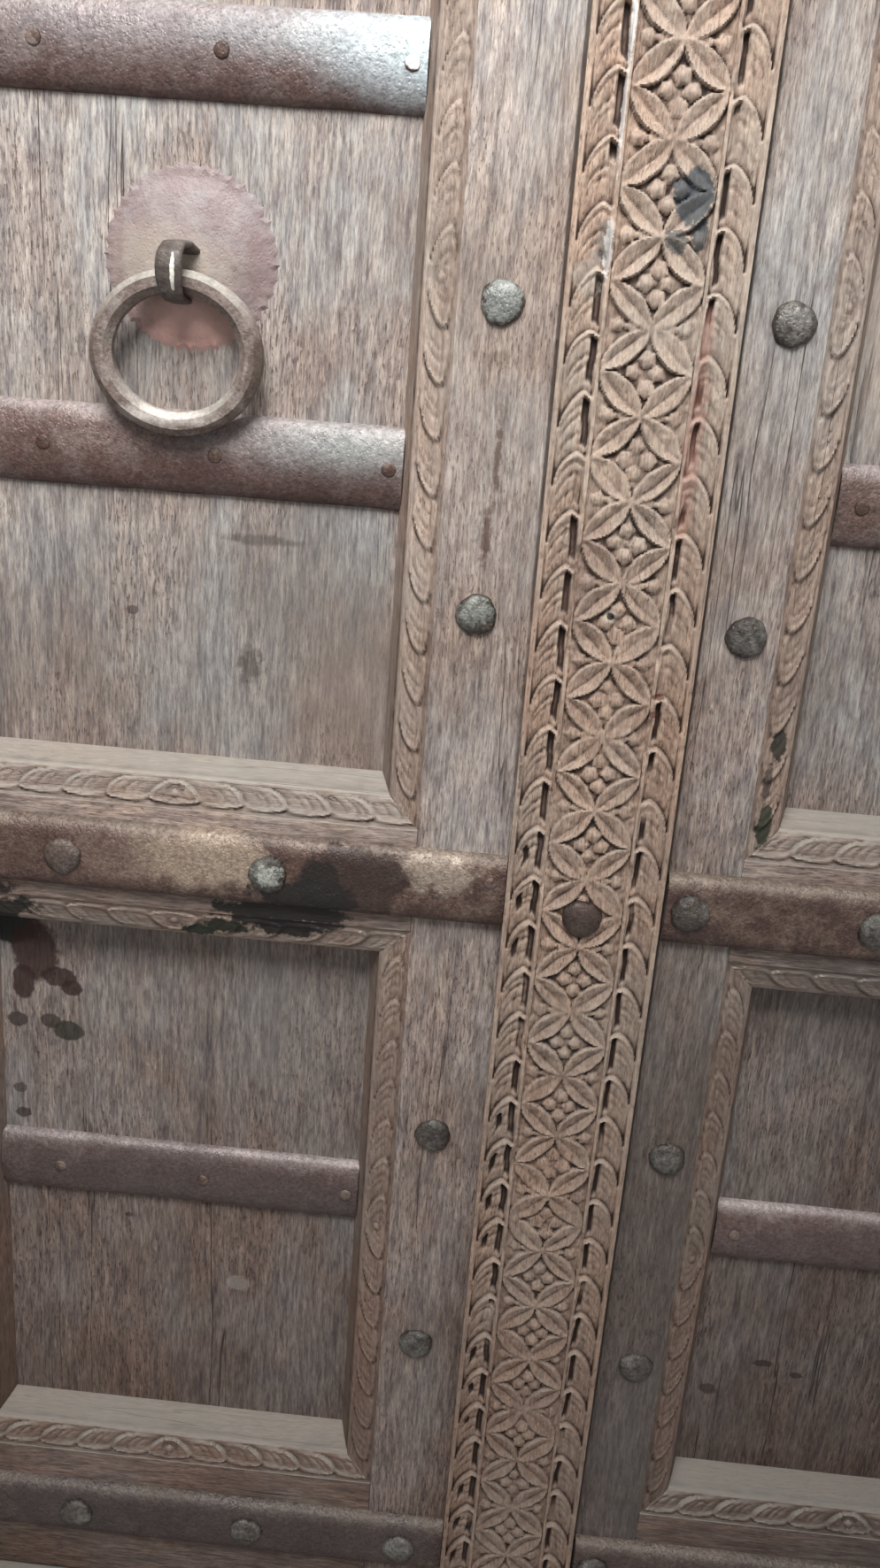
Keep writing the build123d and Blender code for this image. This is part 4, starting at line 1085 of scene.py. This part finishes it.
finish_piece(gather("strip_stud_heads", heads), dark_stud_iron, "left_leaf", "stud_iron", "cover_strip_studs")

# Small flat iron nails, driven through the panel straps and, beside the cover strip, through
# two of the rail straps. Their heads are almost lost in the rust.
NAIL = (4.6, 1.1)
nail_iron = iron_finish(
    "nail_iron", (0.15, 0.08, 0.065), (0.07, 0.04, 0.03), (0.28, 0.22, 0.19), 0.8, metal=0.3,
    # Painted highlight on one nail head near the cover strip.
    marks=((-144, 13, 1179, 5, 4, 1.2, 0.9, (0.86, 0.86, 0.84)),),
)
panel_nail_x = {"left": (-359, -252, -145), "right": (141, 250, 359)}
for side in LEAVES:
    heads = []
    for x in panel_nail_x[side]:
        for heights in panel_strap_heights.values():
            for z in heights:
                heads.append(stud(x, PANEL_FACE - STRAP_RISE, z, *NAIL, x + z))
    if side == "left":
        heads += [stud(-60, STRAP_FACE, z, 4.2, 1.2, z) for z in (706, 1446)]
    finish_piece(gather(side + "_nail_heads", heads), nail_iron, side + "_leaf", "nail_iron", side + "_nails")

# The frame in the wall opening: plain dark teak posts, lintel and threshold, tenoned and
# pegged together, with an iron socket let into the threshold under each hinge pin.
frame_colours = (0.24, 0.18, 0.14), (0.34, 0.29, 0.25), (0.10, 0.068, 0.05)
frame_teak = teak_finish("frame_teak", *frame_colours, 0.6, top_dust_and_light=0.4)
lying_teak = teak_finish("lying_teak", *frame_colours, 0.6, run="x", top_dust_and_light=0.5)
socket_iron = iron_finish("socket_iron", (0.14, 0.075, 0.05), (0.05, 0.03, 0.025), (0.26, 0.18, 0.12), 0.7)
for name, finish in (
    ("frame_left_post", frame_teak),
    ("frame_right_post", frame_teak),
    ("frame_lintel", lying_teak),
    ("frame_threshold", lying_teak),
    ("frame_pegs", frame_teak),
    ("left_pin_socket", socket_iron),
    ("right_pin_socket", socket_iron),
):
    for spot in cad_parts[name].material_slots:
        spot.material = finish

# Ring pulls: a toothed plate with a swollen middle, a strap eye bent over the ring and
# clenched behind the panel, and an octagonal ring worn smooth where it is held.
plate_iron = iron_finish(
    "plate_iron", (0.335, 0.27, 0.262), (0.26, 0.195, 0.19), (0.37, 0.335, 0.33), 0.7, metal=0.0,
    bump=0.6, specks=0.3, gloss=0.25,
    marks=(
        (-290, 15, 1064, 27, 22, 2.0, 0.6, (0.43, 0.365, 0.295), 0.5),
        (-258, 15, 1062, 22, 14, 2.2, 0.5, (0.43, 0.365, 0.295), 0.5),
        # A reddish rust patch low on the plate, brightened with painted light where the ring shades it.
        (-270, 15, 1030, 34, 18, 1.4, 0.85, (0.72, 0.45, 0.39), 0.4),
        (-270, 15, 1020, 36, 6, 1.6, 0.45, (0.25, 0.13, 0.115), 0.5),
        (-226, 15, 1060, 12, 30, 2.2, 0.5, (0.24, 0.165, 0.155), 0.5),
        (-262, 15, 1114, 30, 8, 2.0, 0.4, (0.26, 0.19, 0.18)),
        (-318, 15, 1074, 9, 24, 2.0, 0.45, (0.25, 0.175, 0.165)),
    ),
)
ring_iron = iron_finish(
    "ring_iron", (0.28, 0.22, 0.195), (0.17, 0.125, 0.105), (0.38, 0.34, 0.30), 0.6, metal=0.1, top_dust_and_light=0.85,
    dust_colour=(0.46, 0.43, 0.38), specks=0.7, gloss=0.35, gritty=0.25,
    marks=(
        # Painted shade on the outer sides of the bar, left, right and low on the right.
        (-224, 2, 998, 8, 26, 1.2, 0.75, (0.10, 0.07, 0.055)),
        (-240, 2, 975, 14, 8, 1.5, 0.6, (0.12, 0.08, 0.065)),
        (-322, 4, 1000, 5, 24, 1.6, 0.5, (0.12, 0.085, 0.07)),
        # Painted highlight on the upward face inside the bottom of the ring.
        (-278, 2, 980.5, 24, 5, 1.2, 0.85, (0.66, 0.60, 0.54), 0.5),
    ),
)
eye_iron = iron_finish(
    "eye_iron", (0.16, 0.135, 0.12), (0.085, 0.068, 0.058), (0.24, 0.21, 0.19), 0.5, metal=0.15,
    specks=0.6, gloss=0.35, gritty=0.2,
    # Painted highlight: a thin pale line down the middle of the eye.
    marks=((-272.6, -8, 1060, 1.3, 10, 1.0, 0.85, (0.85, 0.82, 0.72)),),
)
PULL_X = {"left": -274.0, "right": 264.0}
PLATE_X = {"left": -270.0, "right": 260.0}
PLATE_Z = 1069.0
TEETH = 40


def skin(name, columns, rows, place):
    """A closed skin: a grid rolled up by place(u, v), its meeting edges merged and its ends closed."""
    piece, u, v = open_grid(name, columns, rows)
    move_corners(piece, place(u, v))
    edit_all()
    bpy.ops.mesh.remove_doubles(threshold=0.02 * MM)
    bpy.ops.mesh.select_all(action="SELECT")
    bpy.ops.mesh.fill_holes(sides=0)
    face_outwards()
    smooth_below(32)
    return piece


def plate_skin(centre):
    """The toothed plate: its back flat on the panel, its teeth uneven, its middle beaten out."""

    def place(u, v):
        turn = 2 * np.pi * u
        tooth = np.abs(((turn * TEETH / (2 * np.pi)) % 1) * 2 - 1)
        luck = uneven(np.cos(turn) * 30, np.sin(turn) * 30, 5, 121)
        reach = 52.6 - (2.3 + 1.5 * luck) * (1 - tooth) ** 0.7 + 0.5 * luck
        r = np.where(v < 0.5, v * 2, 2 - 2 * v)
        front = v < 0.5
        out = r * reach
        swell = 8.0 * np.clip(1 - (out / 45) ** 2, 0, 1) ** 0.9
        beaten = 0.5 * uneven(np.cos(turn) * out, np.sin(turn) * out, 11, 123) * (0.3 + (out > 6))
        face = 1.3 + swell + beaten * ease(1 - r, 0, 0.1) + 0.5 * luck * ease(r, 0.8, 1.0)
        lift = np.where(front, face, 0.0)
        x, z = centre + out * np.cos(turn), PLATE_Z + out * np.sin(turn)
        return np.stack([x, PANEL_FACE - np.maximum(lift, 0), z], 1)

    return place


def ring_skin(centre):
    """The ring: a slightly oval hoop whose bar has eight worn flats."""

    def place(u, v):
        turn = 2 * np.pi * u
        round_bar = 2 * np.pi * v
        eighth = (round_bar + np.pi / 8) % (np.pi / 4) - np.pi / 8
        worn = uneven(np.cos(turn) * 30 + round_bar * 5, np.sin(turn) * 30, 9, 131)
        bar = 6.75 / np.cos(eighth) * (1 + 0.025 * worn)
        depth = np.clip(bar * np.sin(round_bar), -6.9, 6.9)
        out = np.clip(bar * np.cos(round_bar), -6.9, 6.9)
        shake = 0.35 * uneven(np.cos(turn) * 40, np.sin(turn) * 40, 21, 133)
        x = centre + (45.0 + out + shake) * np.cos(turn)
        z = 1015.5 + (40.4 + out + shake) * np.sin(turn)
        return np.stack([x, 6.0 + depth, z], 1)

    return place


EYE_PATH = np.array([  # y and z, from the leg above the ring to the one below it
    (32.0, 1069.0), (24.0, 1069.6), (15.0, 1072.8), (6.0, 1076.2), (-2.5, 1075.2), (-7.8, 1069.8),
    (-9.6, 1063.0), (-9.2, 1056.0), (-5.6, 1049.0), (1.0, 1045.8), (10.0, 1045.3), (32.0, 1045.3),
])


def eye_skin(centre, hand):
    """The eye: a flat strap bent over the ring, both ends through the panel."""

    def spot(station):
        return np.stack([np.interp(station, range(len(EYE_PATH)), EYE_PATH[:, k]) for k in (0, 1)], 1)

    def place(u, v):
        station = u * (len(EYE_PATH) - 1)
        y, z = spot(station).T
        ahead = spot(station + 0.3) - spot(station - 0.3)
        ahead /= np.linalg.norm(ahead, axis=1)[:, None]
        around = 2 * np.pi * v
        wide = 6.3 * np.sign(np.cos(around)) * np.abs(np.cos(around)) ** 0.6
        thick = 2.1 * np.sign(np.sin(around)) * np.abs(np.sin(around)) ** 0.8
        front = ridge(u - 0.55, 0.2)
        lean = hand * (6.5 * ease(0.44 - u, 0, 0.36) - 1.2 * front)
        wide = wide * (1 + 0.25 * front)
        return np.stack([centre + wide + lean, y - ahead[:, 1] * thick, z + ahead[:, 0] * thick], 1)

    return place


for side in LEAVES:
    hand = -1 if side == "left" else 1
    plate = skin(side + "_plate", 240, 36, plate_skin(PLATE_X[side]))
    finish_piece(plate, plate_iron, side + "_leaf", "plate_iron", side + "_pull_plate")
    hoop = skin(side + "_ring", 120, 32, ring_skin(PULL_X[side]))
    finish_piece(hoop, ring_iron, side + "_ring", "ring_iron", side + "_pull_ring")
    loop = skin(side + "_eye", 66, 24, eye_skin(PULL_X[side], -hand))
    finish_piece(loop, eye_iron, side + "_leaf", "ring_iron", side + "_pull_eye")

# A plain pale floor and an even sky, lit by one spot from above the photographer and by
# two weak soft lamps, one beside the door and one behind it.
PALE = (0.86, 0.86, 0.85, 1)


def seen_plainly(tree):
    """1 where the camera, a reflection or glass looks straight at the background."""
    path = tree.nodes.new("ShaderNodeLightPath").outputs
    seen = calc(tree, "MAXIMUM", path["Is Camera Ray"], path["Is Glossy Ray"])
    return calc(tree, "MAXIMUM", seen, path["Is Transmission Ray"])


bpy.ops.mesh.primitive_plane_add(size=30, location=(0, 0, 0))
floor = bpy.context.object
floor.name = "floor"
floor_paint, floor_tree, paint = blank("floor_paint")
paint.inputs["Base Color"].default_value = (0.78, 0.77, 0.75, 1)
paint.inputs["Roughness"].default_value = 0.9
pale = step(floor_tree, "ShaderNodeEmission", None, Color=PALE, Strength=1.0)
share = times(floor_tree, seen_plainly(floor_tree), 0.6)
floor_mix = step(floor_tree, "ShaderNodeMixShader", None, i0=share, i1=paint.outputs[0], i2=pale.outputs[0])
wire(floor_tree, floor_mix.outputs[0], floor_tree.nodes["Material Output"].inputs["Surface"])
floor.data.materials.append(floor_paint)
floor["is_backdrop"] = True


def lamp(name, kind, spot, aim, power, **settings):
    """A lamp at a spot, aimed at another."""
    light = bpy.data.lights.new(name, kind)
    light.energy = power
    for key, value in settings.items():
        setattr(light, key, value)
    holder = bpy.data.objects.new(name, light)
    bpy.context.scene.collection.objects.link(holder)
    holder.location = spot
    holder.rotation_euler = (Vector(aim) - Vector(spot)).to_track_quat("-Z", "Y").to_euler()


wide_cone = {"shadow_soft_size": 0.5, "spot_size": math.radians(74), "spot_blend": 1.0}
lamp("key", "SPOT", (-0.27, -1.05, 2.4), (-0.3, 0, 1.35), 240, **wide_cone)
lamp("fill", "AREA", (2.2, -2.6, 1.6), (0, 0, 1.0), 8, size=2.4)
lamp("rear", "AREA", (-1.5, 3.2, 2.8), (0, 0, 1.0), 60, size=2.4)

world = bpy.data.worlds.new("sky")
bpy.context.scene.world = world
world.use_nodes = True
sky = world.node_tree
light_of_sky = sky.nodes["Background"]
light_of_sky.inputs["Color"].default_value = (0.86, 0.88, 0.92, 1)
light_of_sky.inputs["Strength"].default_value = 0.25
look_of_sky = step(sky, "ShaderNodeBackground", None, Color=(0.9, 0.9, 0.89, 1))
sky_mix = step(
    sky, "ShaderNodeMixShader", None, i0=seen_plainly(sky), i1=light_of_sky.outputs[0],
    i2=look_of_sky.outputs[0],
)
wire(sky, sky_mix.outputs[0], sky.nodes["World Output"].inputs["Surface"])
bpy.context.scene.view_settings.view_transform = "Standard"

# The photographer's place: close to the meeting of the leaves, looking down a little.
EYE_SPOT = (-0.0669, -0.784, 1.0276)
FOCAL, PHOTO_TALL = 1450, 1772  # the focal length and the height of the photograph, in its pixels
SENSOR = 36
yaw, pitch, roll = math.radians(2.30), math.radians(18.54), math.radians(4.44)
forward = Vector((-math.sin(yaw) * math.cos(pitch), math.cos(yaw) * math.cos(pitch), -math.sin(pitch)))
level = Vector((math.cos(yaw), math.sin(yaw), 0))
upright = level.cross(forward)
right = level * math.cos(roll) + upright * math.sin(roll)
top = upright * math.cos(roll) - level * math.sin(roll)
lens_data = bpy.data.cameras.new("camera")
lens_data.sensor_width = SENSOR
lens_data.lens = FOCAL / PHOTO_TALL * SENSOR
lens_data.clip_start = 0.05
camera = bpy.data.objects.new("camera", lens_data)
bpy.context.scene.collection.objects.link(camera)
turn = Matrix((right, top, -forward)).transposed().to_4x4()
camera.matrix_world = Matrix.Translation(EYE_SPOT) @ turn
bpy.context.scene.camera = camera

low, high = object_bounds()
